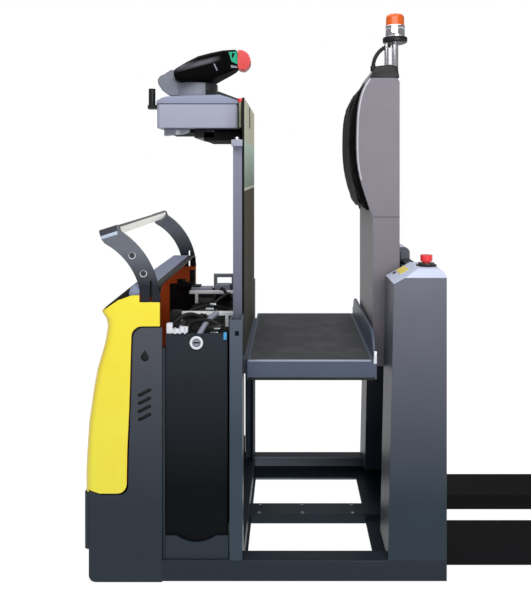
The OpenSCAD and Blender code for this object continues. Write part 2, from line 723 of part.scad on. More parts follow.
// The lid rises to a deck under the tiller and slopes down to the operator and along its sides.
module console_lid() color("#b9bbcc") {
    x0 = x_console - console_l;
    intersection() {
        side(-console_w / 2, console_w / 2) polygon([
            [x0, console_top + seat], [x_console, console_top + seat], [x_console, console_top + lid_edge],
            [x_console - 70, console_top + lid_h - 6], [x0 + 30, console_top + lid_h - 16],
            [x0, console_top + lid_edge]]);
        translate([x0 - 1, 0, console_top]) rotate([90, 0, 90]) linear_extrude(console_l + 2) polygon([
            [-console_w / 2, 0], [console_w / 2, 0], [console_w / 2, 22], [console_w / 2 - 60, lid_h],
            [-console_w / 2 + 60, lid_h], [-console_w / 2, 22]]);
    }
    translate([x_tiller, 0, console_top + lid_edge]) cylinder(h = lid_h - lid_edge, r = tiller_d / 2 + 8);
    translate([x_tiller, 0, console_top + lid_h - 1]) cylinder(h = spindle_h + 1, r = spindle_r - play);
}

module accessory_mount() color("#2c2e33") translate([x_console - console_l - 26, 50 - console_w / 2, 0]) {
    block(-12, 26 - seat, -18, 18, console_top - 14, console_top);
    translate([0, 0, console_top - 1]) cylinder(h = 60, r = accessory_d / 2);
}

// Cast base of the tiller: a turning hub and the arm that rises in front and carries the head.
module tiller_base() color("#8f93a3") translate([x_tiller, 0, tiller_z]) {
    difference() {
        union() {
            cylinder(h = tiller_base_h, r = tiller_d / 2);
            side(-tiller_arm_w / 2, tiller_arm_w / 2) polygon([
                [-60, 0], [-92, 1], [-118, 20], [-136, 48], [-139, 72], [-120, 92], [-88, 106],
                [-70, 106], [-70, 62], [-60, tiller_base_h]]);
        }
        translate([0, 0, -1]) cylinder(h = spindle_h + 3, r = spindle_r);
    }
}

// Side outline of the tiller head, from its front end over the top to its grip end.
head_top = [[-66, 60], [-67, 88], [-18, 117], [24, 138], [72, 150], [114, 158], [168, 161]];
head_low = [[168, 81], [145, 69], [103, 55], [93, 51]];

module tiller_head() color("#1d1e21") translate([x_tiller, 0, tiller_z])
    side(-tiller_w / 2, tiller_w / 2) polygon(concat(head_top, head_low, [[-45, tiller_base_h + seat]]));

module tiller_controls() color("#e2574f") translate([x_tiller, 0, tiller_z])
    side(-tiller_w / 2 + 6, tiller_w / 2 - 6) polygon(concat(
        [[168 + seat, 81]], arc(176, 121, 38, -72, 78, 10), [[168 + seat, 161]]));

// Front edge of the backrest: reach in front of the column, depth below the top.
back_edge = [[3, 481], [13, 455], [24, 422], [35, 388], [45, 354], [52, 320], [56, 287], [58, 245], [58, 205],
    [57, 165], [55, 128], [51, 95], [45, 66], [37, 41], [26, 18], [14, 0]];

// The same edge as points, moved forward by d.
function back_profile(d) = [for (p = back_edge) [column_front - p[0] - d, back_top - p[1]]];

module backrest_shell() color("#9a97a3") {
    difference() {
        side(-back_w / 2, back_w / 2) polygon(concat(
            [[column_front, floor_bottom], [column_rear, floor_bottom]],
            arc(column_rear - 18, back_top - 18, 18, 0, 90, 6), [[column_front, back_top]]));
        block(column_front + 8, column_rear - 8, -back_w / 2 + 8, back_w / 2 - 8, floor_bottom - 1, back_top - 8);
    }
    pair() side(-back_w / 2, -back_w / 2 + back_shell_t) polygon(concat(
        [[column_front + 1, back_top - 487]], back_profile(0), [[column_front + 1, back_top]]));
}

module backrest_cushion() color("#141518")
    side(-back_w / 2 + back_shell_t + 1, back_w / 2 - back_shell_t - 1) polygon(concat(
        [[column_front - seat, back_top - 472]], back_profile(pad_proud), [[column_front - seat, back_top - 1]]));

module backrest_cap() color("#191a1c")
    side(-back_w / 2 + 8, back_w / 2 - 8) polygon(concat(
        [[column_front - 10, back_top + seat], [column_rear - 14, back_top + seat]],
        arc(column_rear - 8, back_top + cap_h - 8, 8, 0, 90, 4),
        [[column_front + 12, back_top + cap_h], [column_front + 4, back_top + cap_h - 6]]));

module beacon_stand() color("#2a2c30") translate([x_beacon, beacon_y, back_top + cap_h + 2 * seat]) {
    cylinder(h = stand_h + 1, r = 12);
    translate([-30, 0, 0]) cylinder(h = stand_h + 1, r = 8);
    translate([0, 0, stand_h]) cylinder(h = 20, r = 44);
    translate([0, 0, stand_h + 19]) cylinder(h = lamp_h + 1, r = dome_d / 2 + 1);
    rotate([90, 0, 0]) rotate_extrude(angle = -78) translate([-conduit_r, 0]) circle(r = 7);
}

module beacon_dome() color("#f07a1a")
    translate([x_beacon, beacon_y, back_top + cap_h + stand_h + 20 + lamp_h + 3 * seat])
        rotate_extrude() polygon(concat(
            [[0, 0], [dome_d / 2 - 2, 0]], arc(dome_d / 2 - 12, dome_h - 10, 10, 0, 90, 5), [[0, dome_h]]));

module lift_carriage() color("#2b2e33") translate([0, 0, floor_bottom]) {
    plate_y = channel_in - 7;
    block(column_rear + seat, column_rear + 12, -plate_y, plate_y, -87, 213);
    pair() {
        block(column_rear + 11, x_roller + 17, -plate_y, -plate_y + 12, -77, 143);
        for (z = [-47, 113]) {
            bar_y(x_roller, z, 10, -house_in + channel_t + 6, -plate_y + 1);
            bar_y(x_roller, z, 25, -house_in + channel_t + 3, -channel_in - 5);
        }
    }
}

base_frame();
side_plates();
front_apron();
hood();
hood_top_cover();
grab_arms();
grab_bar();
battery();
battery_panels();
battery_sills();
battery_bars();
battery_leads();
front_posts();
rear_housings();
rear_mast();
emergency_stop();
drive_turret();
drive_wheel();
castor_fork(-castor_y);  // castor_fork_left
castor_fork(castor_y);  // castor_fork_right
castor_wheel(-castor_y);  // castor_wheel_left
castor_wheel(castor_y);  // castor_wheel_right
fork_carriage();
fork(-fork_y);  // fork_left
fork(fork_y);  // fork_right
load_arm(-fork_y);  // load_arm_left
load_arm(fork_y);  // load_arm_right
load_roller(-fork_y);  // load_roller_left
load_roller(fork_y);  // load_roller_right
platform_floor();
platform_mat();
front_frame();
front_panel();
console_box();
console_lid();
accessory_mount();
tiller_base();
tiller_head();
tiller_controls();
backrest_shell();
backrest_cushion();
backrest_cap();
beacon_stand();
beacon_dome();
lift_carriage();
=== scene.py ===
"""Dresses the order picker truck: finishes, small fittings, cloth pad, studio and camera."""

import math

import bmesh
import bpy
from mathutils import Matrix, Vector


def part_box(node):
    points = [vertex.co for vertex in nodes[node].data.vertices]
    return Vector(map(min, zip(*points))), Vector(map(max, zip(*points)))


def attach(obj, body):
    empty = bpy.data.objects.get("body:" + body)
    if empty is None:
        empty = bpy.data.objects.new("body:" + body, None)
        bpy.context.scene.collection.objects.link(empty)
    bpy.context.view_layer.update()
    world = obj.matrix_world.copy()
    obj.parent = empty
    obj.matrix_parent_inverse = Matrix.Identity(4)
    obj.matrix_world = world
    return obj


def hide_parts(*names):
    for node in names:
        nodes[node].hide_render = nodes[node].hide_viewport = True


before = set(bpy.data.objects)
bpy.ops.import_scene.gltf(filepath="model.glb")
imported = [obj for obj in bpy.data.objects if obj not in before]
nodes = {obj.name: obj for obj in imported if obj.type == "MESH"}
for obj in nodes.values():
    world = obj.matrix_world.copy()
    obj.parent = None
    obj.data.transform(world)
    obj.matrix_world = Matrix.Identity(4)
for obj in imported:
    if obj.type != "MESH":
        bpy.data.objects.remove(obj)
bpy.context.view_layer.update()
COLLECTION = bpy.context.scene.collection


def linear(word):
    """A linear colour from a hex word."""
    raw = [int(word[i:i + 2], 16) / 255 for i in (0, 2, 4)]
    return tuple(c / 12.92 if c <= 0.04045 else ((c + 0.055) / 1.055) ** 2.4 for c in raw)


# Shader maths written as Python
class Link:
    """A socket of one material, with operators that add Math nodes."""

    def __init__(self, mat, socket):
        self.mat = mat
        self.socket = socket

    def maths(self, operation, *others):
        return self.mat.node("ShaderNodeMath", {"operation": operation}, (self,) + others)

    def __add__(self, other):
        return self.maths("ADD", other)

    def __mul__(self, other):
        return self.maths("MULTIPLY", other)

    def __sub__(self, other):
        return self.maths("SUBTRACT", other)

    def __rsub__(self, other):
        return self.mat.node("ShaderNodeMath", {"operation": "SUBTRACT"}, (other, self))

    def above(self, limit):
        return self.maths("GREATER_THAN", limit)

    def below(self, limit):
        return self.maths("LESS_THAN", limit)

    def ramp(self, start, end):
        """0 at start and 1 at end, held outside them."""
        return self.mat.node("ShaderNodeMapRange", {"clamp": True}, (self, start, end, 0.0, 1.0))


class Finish:
    """A material with a Principled shader."""

    def __init__(self, name, color, rough=0.5, metal=0.0, coat=0.0, **sockets):
        self.mat = bpy.data.materials.new(name)
        self.mat.use_nodes = True
        self.tree = self.mat.node_tree
        self.shader = self.tree.nodes["Principled BSDF"]
        color = linear(color)
        self.set("Base Color", (*color, 1.0))
        self.set("Roughness", rough)
        self.set("Metallic", metal)
        self.set("Coat Weight", coat)
        for name_of, value in sockets.items():
            self.set(name_of.replace("_", " "), value)
        self.mat.diffuse_color = (*color, 1.0)

    def set(self, socket, value):
        target = self.shader.inputs[socket]
        if isinstance(value, Link):
            self.tree.links.new(value.socket, target)
        else:
            target.default_value = value

    def node(self, kind, settings=None, values=(), output=0):
        made = self.tree.nodes.new(kind)
        for key, setting in (settings or {}).items():
            setattr(made, key, setting)
        pairs = values.items() if isinstance(values, dict) else enumerate(values)
        for key, value in pairs:
            if isinstance(value, Link):
                self.tree.links.new(value.socket, made.inputs[key])
            elif value is not None:
                made.inputs[key].default_value = value
        return Link(self, made.outputs[output])

    def place(self):
        return self.node("ShaderNodeTexCoord", output="Object")

    def axes(self, vector=None):
        split = self.node("ShaderNodeSeparateXYZ", values=(vector or self.place(),))
        return [Link(self, split.socket.node.outputs[i]) for i in range(3)]

    def facing(self):
        """The face normal's x, y and z."""
        return self.axes(self.node("ShaderNodeNewGeometry", output="Normal"))

    def noise(self, scale, detail=2.0, vector=None):
        values = {"Vector": vector or self.place(), "Scale": scale, "Detail": detail}
        return self.node("ShaderNodeTexNoise", values=values)

    def mix(self, mask, first, second):
        """first where mask is 0 and second where it is 1; a colour may be a hex word."""
        made = self.tree.nodes.new("ShaderNodeMix")
        made.data_type = "RGBA"
        for index, value in ((0, mask), (6, first), (7, second)):
            if isinstance(value, Link):
                self.tree.links.new(value.socket, made.inputs[index])
            else:
                made.inputs[index].default_value = (*linear(value), 1.0) if isinstance(value, str) else value
        return Link(self, made.outputs[2])

    def bump(self, height, distance, strength=1.0):
        values = {"Height": height, "Distance": distance, "Strength": strength}
        self.set("Normal", self.node("ShaderNodeBump", values=values))

    def soft_edges(self, height, distance, strength, radius=0.0025):
        """A bump over edges that catch the light as if they were rounded."""
        rounded = self.node("ShaderNodeBevel", {"samples": 6}, {"Radius": radius})
        values = {"Height": height, "Distance": distance, "Strength": strength, "Normal": rounded}
        self.set("Normal", self.node("ShaderNodeBump", values=values))


def plastic(name, color, rough=0.45, grain=900.0, **sockets):
    """Moulded plastic with a fine grain."""
    f = Finish(name, color, rough, **sockets)
    f.bump(f.noise(grain, 1.0), 0.00015, 0.3)
    return f


def rubber(name, color, rough=0.75):
    """Matt rubber."""
    f = Finish(name, color, rough)
    f.bump(f.noise(420.0, 2.0), 0.0004, 0.35)
    dust = f.noise(14.0, 3.0).ramp(0.45, 0.75)
    dusty = [c * 1.5 + 0.004 for c in linear(color)]
    f.set("Base Color", f.mix(dust, color, (*dusty, 1.0)))
    return f


def steel(name, color, rough=0.3):
    """Brushed or zinc-plated steel."""
    f = Finish(name, color, rough, 1.0)
    values = {"Vector": f.place(), "Scale": (0.02, 1, 1)}
    brushed = f.node("ShaderNodeMapping", {"vector_type": "POINT"}, values)
    f.bump(f.noise(900.0, 2.0, brushed), 0.0001, 0.3)
    return f


def shaded(name, low_color, high_color, low_z, high_z, rough=0.42, coat=0.0, speckle=0.05, painted_top_highlight=None,
           shine=0.22):
    """Powder-coated steel, painted lighter towards the top as light falls from above, with a fine grain and
    soft bright edges.

    The colour of upward faces, when given, is a painted highlight on them.
    """
    f = Finish(name, high_color, rough, 0.0, coat, Specular_IOR_Level=shine, Coat_Roughness=0.25)
    # Painted light: darker low down and lighter high up.
    painted_light_rise = f.axes()[2].ramp(low_z, high_z)
    base = f.mix(painted_light_rise, low_color, high_color)
    # Painted highlight on the faces that look up.
    if painted_top_highlight:
        base = f.mix(f.facing()[2].ramp(0.3, 0.6), base, painted_top_highlight)
    worn = f.noise(9.0, 3.0).ramp(0.35, 0.65) * speckle
    f.set("Base Color", f.mix(worn, base, (0.0, 0.0, 0.0, 1.0)))
    f.soft_edges(f.noise(700.0, 1.0), 0.0002, 0.25)
    return f


def polished(name, color, rough=0.12):
    """Bright polished metal."""
    f = Finish(name, color, rough, 1.0)
    f.bump(f.noise(60.0, 2.0), 0.0002, 0.1)
    return f


# Limits of the painted zones, in metres
HOOD_MIDDLE_X = -0.96
FAR_SIDE_Y = 0.25
SEAM_LOW_Z = 1.303
SEAM_HIGH_Z = 1.313
CREAM_Z = 1.475
BAR_REFLECTION_Z = 1.1895
COVER_REAR_X = -0.955
COVER_SLOPE_X = -1.03
TRAY_BOTTOM_Z = 1.4735
COLLAR_TOP_Z = 1.0642
BASE_DARK_X = -0.8285
GLEAM_X = -0.925
GLEAM_Z = 1.738
GLEAM_SLOPE = 0.3516

# Each finish below is painted darker low down and lighter high up as light falls from above; the housings'
# upward faces carry a painted highlight.
paint = shaded("anthracite_enamel", "2b3844", "6c6e7a", 0.3, 1.0, painted_top_highlight="cdd4ec")
post_paint = shaded("post_enamel", "384654", "565e6c", 0.5, 0.9)
floor_paint = shaded("platform_enamel", "464f5e", "566074", 0.6, 0.8)
paint_dark = shaded("base_enamel", "252e38", "343b43", 0.05, 0.7)
side_paint = shaded("side_plate_enamel", "29333d", "50535d", 0.3, 0.85)
panel_paint = shaded("battery_panel_enamel", "0c0e11", "30353d", 0.35, 0.84, 0.6, shine=0.08)
arm_paint = shaded("grab_arm_enamel", "1f212a", "70747e", 1.0, 1.12)
bright_edge = shaded("bright_edge_enamel", "b4c4d8", "c6d4e6", 1.1, 1.2)
dark_steel = shaded("dark_steel", "3c3d44", "46474e", 0.8, 1.1)
console_paint = shaded("console_enamel", "a0a2b6", "a5a7bb", 1.5, 1.6, 0.42, 0.0, 0.02)
lid_paint = shaded("console_lid_enamel", "8e94ac", "9aa0b8", 1.605, 1.64, 0.42, 0.0, 0.02)
shell_paint = shaded("shell_enamel", "77747c", "837f89", 0.75, 1.35, 0.45, 0.0, 0.05)
fork_paint = shaded("fork_enamel", "090a0d", "121418", 0.03, 0.4, 0.5, 0.0, 0.08, shine=0.1)
shell_light = shaded("shell_edge_enamel", "c8c6d0", "d4d2dc", 1.2, 1.7, 0.35, 0.2, 0.02)
zinc_edge = shaded("platform_edge_paint", "9aa2b4", "a4acbe", 0.7, 0.8, 0.35, 0.2, 0.02)
black_plastic = plastic("black_plastic", "151618", 0.4, Specular_IOR_Level=0.3)
gloss_black = plastic("gloss_black_plastic", "070708", 0.3, Specular_IOR_Level=0.3)
grey_plastic = plastic("grey_plastic", "8d90a0", 0.4)
white_plastic = plastic("white_plastic", "e4e6ee", 0.35)
turquoise = plastic("turquoise_plastic", "1fae88", 0.35)
blue_plastic = plastic("blue_plastic", "3fa0d8", 0.3)
yellow_plate = plastic("blank_yellow_plate", "f3dc6a", 0.4)
olive_plastic = plastic("olive_plastic", "8a8c78", 0.35)
zinc = steel("zinc_plate", "d9dce4", 0.3)
bare_steel = steel("plain_steel", "9a9ea6", 0.35)
chrome = polished("chrome_plate", "e8e8ee")
battery_plastic = plastic("battery_plastic", "0a0b0c", 0.6, Specular_IOR_Level=0.1)
lead_rubber = rubber("lead_rubber", "0c0c0d", 0.7)
mat_rubber = rubber("mat_rubber", "393a3d", 0.8)
tyre_rubber = rubber("tyre_rubber", "1c1c1d", 0.8)
amber = plastic("roller_polyurethane", "c98f3a", 0.35)
red_gloss = plastic("red_plastic", "f02a34", 0.25, Coat_Weight=0.3)
control_red = plastic("control_red_plastic", "dd3d3e", 0.4)
orange = plastic("beacon_plastic", "e06014", 0.25, Coat_Weight=0.2)


def hood_finish():
    """Yellow outside; inside, an orange-red painted shade of the yellow, which the open end shows."""
    f = Finish("yellow_enamel", "fee23c", 0.3, 0.0, 0.3)
    f.set("Coat Roughness", 0.2)
    x, y = f.axes()[:2]
    nx, ny = f.facing()[:2]
    inside = (nx * (x - HOOD_MIDDLE_X) + ny * y).below(0.0)
    shade = f.noise(6.0, 2.0).ramp(0.35, 0.7)
    lit = f.mix(shade, "fff23c", "ffe834")
    # Painted shade: faces that turn to the front go deeper orange.
    lit = f.mix((0.0 - nx).ramp(0.35, 0.95), lit, "ffda30")
    # Painted shade: the inside is orange-red.
    f.set("Base Color", f.mix(inside, lit, "ff7434"))
    f.soft_edges(f.noise(500.0, 1.0), 0.0002, 0.2)
    return f


def panel_finish():
    """Front panel: pale green plastic window above its seam and dark olive below, each paler towards the top
    as a painted reflection.
    """
    f = Finish("panel_enamel", "4c4d48", 0.6, Specular_IOR_Level=0.15)
    z = f.axes()[2]
    # Painted reflection: both parts grow paler towards the top.
    pale = f.mix(z.ramp(1.31, 1.46), "7a9078", "dffbe6")
    olive = f.mix(z.ramp(0.8, 1.25), "4f5046", "5d5548")
    body = f.mix(z.above(SEAM_HIGH_Z), olive, pale)
    f.set("Roughness", 0.8 - z.above(SEAM_HIGH_Z) * 0.45)
    seam = z.above(SEAM_LOW_Z) * z.below(SEAM_HIGH_Z)
    body = f.mix(z.above(CREAM_Z), body, "f2f2d4")
    body = f.mix(seam, body, "e6ecdf")
    f.set("Base Color", f.mix(f.facing()[1].below(-0.5), body, "161716"))
    f.soft_edges(f.noise(300.0, 1.0), 0.0001, 0.2)
    return f


def bar_finish():
    """Grab bar: polished face under a dark top edge, a painted reflection of dark surroundings."""
    f = Finish("grab_bar_steel", "f8f7f0", 0.3, 1.0)
    rim = f.axes()[2].above(BAR_REFLECTION_Z)
    # Painted reflection: the top edge above the line is dark.
    f.set("Base Color", f.mix(rim, "fbfaf4", "202022"))
    f.bump(f.noise(300.0, 1.0), 0.00005, 0.1)
    return f


def cover_finish():
    """Top cover: black front slope and rear rim, and a top painted pale as if it shone."""
    f = Finish("cover_plastic", "1a1b1d", 0.5, Specular_IOR_Level=0.14)
    x, _, z = f.axes()
    shine = z.ramp(0.952, 0.985) * x.below(COVER_REAR_X) * x.above(COVER_SLOPE_X)
    f.set("Base Color", f.mix(shine, "1a1b1d", "8c94ad"))
    f.soft_edges(f.noise(900.0, 1.0), 0.00015, 0.3, 0.005)
    return f


def frame_finish():
    """Front frame: grey-lavender uprights painted darker low down as shade, under a tray painted black as
    the shadow beneath the console.
    """
    f = Finish("front_frame_enamel", "8f90a2", 0.42, Specular_IOR_Level=0.22)
    z = f.axes()[2]
    # Painted shade: darker low down.
    base = f.mix(z.ramp(0.7, 1.4), "565a6a", "838497")
    # Painted shadow: the tray under the console is black.
    f.set("Base Color", f.mix(z.above(TRAY_BOTTOM_Z), base, "0b0b0c"))
    f.set("Roughness", z.above(TRAY_BOTTOM_Z) * 0.45 + 0.42)
    f.soft_edges(f.noise(700.0, 1.0), 0.0002, 0.25)
    return f


def stop_finish():
    """Emergency stop: red button over a black collar."""
    f = Finish("stop_red_plastic", "f02a34", 0.28, Coat_Weight=0.3)
    collar = f.axes()[2].below(COLLAR_TOP_Z)
    f.set("Base Color", f.mix(collar, "f52c36", "26281f"))
    f.soft_edges(f.noise(500.0, 1.0), 0.0001, 0.2, 0.004)
    return f


def bars_finish():
    """Battery hold-down bars in bright zinc, and the grey latch frame at the far side."""
    f = Finish("hold_bar_zinc", "d4d6e2", 0.32, Specular_IOR_Level=0.5)
    latch = f.axes()[1].above(FAR_SIDE_Y)
    f.set("Base Color", f.mix(latch, "fafbff", "868c94"))
    f.soft_edges(f.noise(600.0, 1.0), 0.0001, 0.2, 0.003)
    return f


def head_finish():
    """Tiller head: matt black plastic with a painted grey gleam below its upper edge and a painted highlight
    on the faces that look up.
    """
    f = Finish("tiller_head_plastic", "0a0a0b", 0.6, Specular_IOR_Level=0.06)
    up = f.facing()[2]
    x, _, z = f.axes()
    above_line = z - GLEAM_Z - (x - GLEAM_X) * GLEAM_SLOPE
    gleam = above_line.ramp(-0.012, -0.003) * (1.0 - above_line.ramp(0.003, 0.012))
    gleam = gleam * x.ramp(-0.935, -0.9) * (1.0 - x.ramp(-0.81, -0.77))
    # Painted highlight: faces that look up are lighter grey.
    base = f.mix(up.ramp(0.15, 0.8), "030304", "2e2d32")
    f.set("Base Color", f.mix(gleam, base, "66646c"))
    f.set("Roughness", 0.75)
    f.bump(f.noise(900.0, 1.0), 0.0001, 0.2)
    return f


def chassis_finish():
    """Base frame: dark enamel painted lighter towards the top, and paler on the far rails' inward faces as
    painted light.
    """
    f = Finish("chassis_enamel", "202a35", 0.45, Specular_IOR_Level=0.22)
    _, y, z = f.axes()
    # Painted light: the far rails' inward faces are paler.
    inner = y.above(FAR_SIDE_Y) * f.facing()[1].below(-0.5)
    # Painted light: lighter towards the top.
    base = f.mix(z.ramp(0.05, 0.7), "202a35", "343b43")
    f.set("Base Color", f.mix(inner, base, "8c97a5"))
    f.soft_edges(f.noise(600.0, 1.0), 0.0002, 0.3)
    return f


def base_finish():
    """Tiller base: grey casting, darker towards the top and dark past a line towards its rear."""
    f = Finish("tiller_base_paint", "8b8f9d", 0.4, Specular_IOR_Level=0.3)
    x, _, z = f.axes()
    base = f.mix(z.ramp(1.65, 1.76), "888c9a", "747884")
    f.set("Base Color", f.mix(x.above(BASE_DARK_X), base, "2e3034"))
    f.soft_edges(f.noise(500.0, 1.0), 0.0003, 0.3, 0.006)
    return f


def leather_finish():
    """Black artificial leather with a pebble grain."""
    f = Finish("pad_leather", "070809", 0.6, Specular_IOR_Level=0.08)
    values = {"Vector": f.place(), "Scale": 420.0}
    pebble = f.node("ShaderNodeTexVoronoi", {"feature": "DISTANCE_TO_EDGE"}, values)
    f.bump(pebble.ramp(0.0, 0.25), 0.0004, 0.5)
    worn = f.noise(12.0, 3.0).ramp(0.4, 0.7)
    f.set("Base Color", f.mix(worn, "060708", "0b0c0e"))
    f.set("Roughness", worn * 0.12 + 0.6)
    return f


yellow = hood_finish()
panel_gloss = panel_finish()
bar_white = bar_finish()
leather = leather_finish()
cover = cover_finish()
frame_paint = frame_finish()
stop_red = stop_finish()
hold_zinc = bars_finish()
base_grey = base_finish()
chassis_paint = chassis_finish()
head_black = head_finish()

CAD_FINISHES = {
    paint: ("rear_housings",),
    arm_paint: ("grab_arms",),
    post_paint: ("front_posts",),
    frame_paint: ("front_frame",),
    floor_paint: ("platform_floor",),
    chassis_paint: ("base_frame",),
    paint_dark: ("rear_mast", "lift_carriage", "drive_turret"),
    side_paint: ("side_plates", "front_apron", "battery_sills"),
    panel_paint: ("battery_panels",),
    yellow: ("hood",),
    cover: ("hood_top_cover",),
    console_paint: ("console_box",),
    lid_paint: ("console_lid",),
    shell_paint: ("backrest_shell",),
    hold_zinc: ("battery_bars",),
    bar_white: ("grab_bar",),
    bare_steel: ("castor_fork_left", "castor_fork_right", "beacon_stand"),
    battery_plastic: ("battery",),
    lead_rubber: ("battery_leads",),
    fork_paint: ("fork_carriage", "fork_left", "fork_right", "load_arm_left", "load_arm_right"),
    mat_rubber: ("platform_mat",),
    tyre_rubber: ("drive_wheel", "castor_wheel_left", "castor_wheel_right"),
    amber: ("load_roller_left", "load_roller_right"),
    stop_red: ("emergency_stop",),
    gloss_black: ("tiller_head",),
    base_grey: ("tiller_base",),
    control_red: ("tiller_controls",),
    leather: ("backrest_cushion",),
    black_plastic: ("backrest_cap", "accessory_mount"),
    orange: ("beacon_dome",),
    panel_gloss: ("front_panel",),
}
for finish, names in CAD_FINISHES.items():
    for name in names:
        mesh = nodes[name].data
        if mesh.materials:
            for index in range(len(mesh.materials)):
                mesh.materials[index] = finish.mat
        else:
            mesh.materials.append(finish.mat)


# Small pieces, in millimetres until they are finished
MM = 0.001
SHARP_TURN = 0.5
SMOOTH_DEGREES = 32
UP = (0.0, 0.0, 1.0)
NEARWARD = (0.0, -1.0, 0.0)
NEAR_FACE_Y = -400.0


class Shape:
    """One piece's mesh while it is built."""

    def __init__(self, finish):
        self.bm = bmesh.new()
        self.finishes = [finish]
        self.slot = 0

    def use(self, finish):
        """The finish of what is built next."""
        if finish not in self.finishes:
            self.finishes.append(finish)
        self.slot = self.finishes.index(finish)
        return self

    def close(self, faces_before, soft, segments):
        """Gives the new faces their finish and rounds their edges."""
        new = [f for f in self.bm.faces if f not in faces_before]
        for face in new:
            face.material_index = self.slot
        if soft:
            edges = list({e for f in new for e in f.edges
                          if len(e.link_faces) == 2 and e.calc_face_angle(0.0) > SHARP_TURN})
            bmesh.ops.bevel(self.bm, geom=edges, affect="EDGES", offset=soft, segments=segments,
                            profile=0.5, material=-1, clamp_overlap=True)
        return self

    def block(self, low_corner, high_corner, soft=0.0, segments=2):
        before = set(self.bm.faces)
        low_v = Vector(low_corner)
        high_v = Vector(high_corner)
        place = Matrix.Translation((low_v + high_v) / 2) @ Matrix.Diagonal((*(high_v - low_v), 1.0))
        bmesh.ops.create_cube(self.bm, size=1.0, matrix=place)
        return self.close(before, soft, segments)

    def slab(self, centre, size, turn, soft=0.4):
        """A turned box about its centre."""
        before = set(self.bm.faces)
        place = Matrix.Translation(centre) @ turn @ Matrix.Diagonal((*size, 1.0))
        bmesh.ops.create_cube(self.bm, size=1.0, matrix=place)
        return self.close(before, soft, 1)

    def rod(self, start, end, radius, end_radius=None, sides=24, soft=0.0, segments=2):
        before = set(self.bm.faces)
        start = Vector(start)
        run = Vector(end) - start
        turn = run.to_track_quat("Z", "Y").to_matrix().to_4x4()
        place = Matrix.Translation(start + run / 2) @ turn
        bmesh.ops.create_cone(self.bm, cap_ends=True, cap_tris=False, segments=sides, radius1=radius,
                              radius2=radius if end_radius is None else end_radius, depth=run.length,
                              matrix=place)
        return self.close(before, soft, segments)

    def lathe(self, start, axis, outline, sides=32):
        """Turns an outline of (radius, height) pairs, from the axis to the axis, about it."""
        before = set(self.bm.faces)
        turn = Vector(axis).to_track_quat("Z", "Y").to_matrix().to_4x4()
        place = Matrix.Translation(start) @ turn
        verts = [self.bm.verts.new(place @ Vector((r, 0.0, h))) for r, h in outline]
        edges = [self.bm.edges.new(pair) for pair in zip(verts, verts[1:])]
        if outline[0][0] > 0:
            edges.append(self.bm.edges.new((verts[-1], verts[0])))
        bmesh.ops.spin(self.bm, geom=verts + edges, cent=start, axis=axis, angle=2 * math.pi, steps=sides,
                       use_merge=True)
        new = [f for f in self.bm.faces if f not in before]
        bmesh.ops.remove_doubles(self.bm, verts=list({v for f in new for v in f.verts}), dist=0.001)
        new = [f for f in self.bm.faces if f not in before]
        bmesh.ops.recalc_face_normals(self.bm, faces=new)
        return self.close(before, 0.0, 1)

    def plate(self, outline, y0, y1, soft=0.0, segments=2):
        """A flat plate across the truck, from its side outline of (x, z) pairs."""
        before = set(self.bm.faces)
        face = self.bm.faces.new([self.bm.verts.new((x, y0, z)) for x, z in outline])
        grown = bmesh.ops.extrude_face_region(self.bm, geom=[face])["geom"]
        moved = [g for g in grown if isinstance(g, bmesh.types.BMVert)]
        bmesh.ops.translate(self.bm, verts=moved, vec=(0.0, y1 - y0, 0.0))
        bmesh.ops.recalc_face_normals(self.bm, faces=[f for f in self.bm.faces if f not in before])
        return self.close(before, soft, segments)

    def bolt(self, place, axis, radius, height=None, socket=0.5):
        """A button head with a socket, on a washer."""
        height = height or radius * 0.6
        hole = radius * socket
        outline = [(0.0, 0.0), (radius * 1.25, 0.0), (radius * 1.25, 1.2), (radius, 1.4),
                   (radius * 0.97, height * 0.7), (radius * 0.8, height), (hole, height),
                   (hole * 0.95, height * 0.4), (0.0, height * 0.4)]
        return self.lathe(place, axis, outline, 20)

    def tube(self, points, radius, sides=10, ribs=0.0):
        """A round tube along points; ribs makes every second ring thicker by that much."""
        before = set(self.bm.faces)
        path = [Vector(p) for p in points]
        rings = []
        for i, point in enumerate(path):
            run = path[min(i + 1, len(path) - 1)] - path[max(i - 1, 0)]
            turn = run.to_track_quat("Z", "Y").to_matrix().to_4x4()
            size = radius + (ribs if i % 4 in (1, 2) else 0.0)
            ring = bmesh.ops.create_circle(self.bm, cap_ends=False, radius=size, segments=sides,
                                           matrix=Matrix.Translation(point) @ turn)["verts"]
            rings.append(ring)
        for first, second in zip(rings, rings[1:]):
            both = set(first) | set(second)
            loops = [e for e in self.bm.edges
                     if e.verts[0] in both and e.verts[1] in both and len(e.link_faces) < 2]
            bmesh.ops.bridge_loops(self.bm, edges=loops)
        for ring in (rings[0], rings[-1]):
            self.bm.faces.new(ring)
        new = [f for f in self.bm.faces if f not in before]
        bmesh.ops.recalc_face_normals(self.bm, faces=new)
        return self.close(before, 0.0, 1)

    def mirrored(self):
        """Adds the same on the truck's other side."""
        before = set(self.bm.faces)
        whole = self.bm.verts[:] + self.bm.edges[:] + self.bm.faces[:]
        copy = bmesh.ops.duplicate(self.bm, geom=whole)["geom"]
        verts = [g for g in copy if isinstance(g, bmesh.types.BMVert)]
        bmesh.ops.scale(self.bm, vec=(1.0, -1.0, 1.0), verts=verts)
        new = [f for f in self.bm.faces if f not in before]
        bmesh.ops.reverse_faces(self.bm, faces=new)
        return self

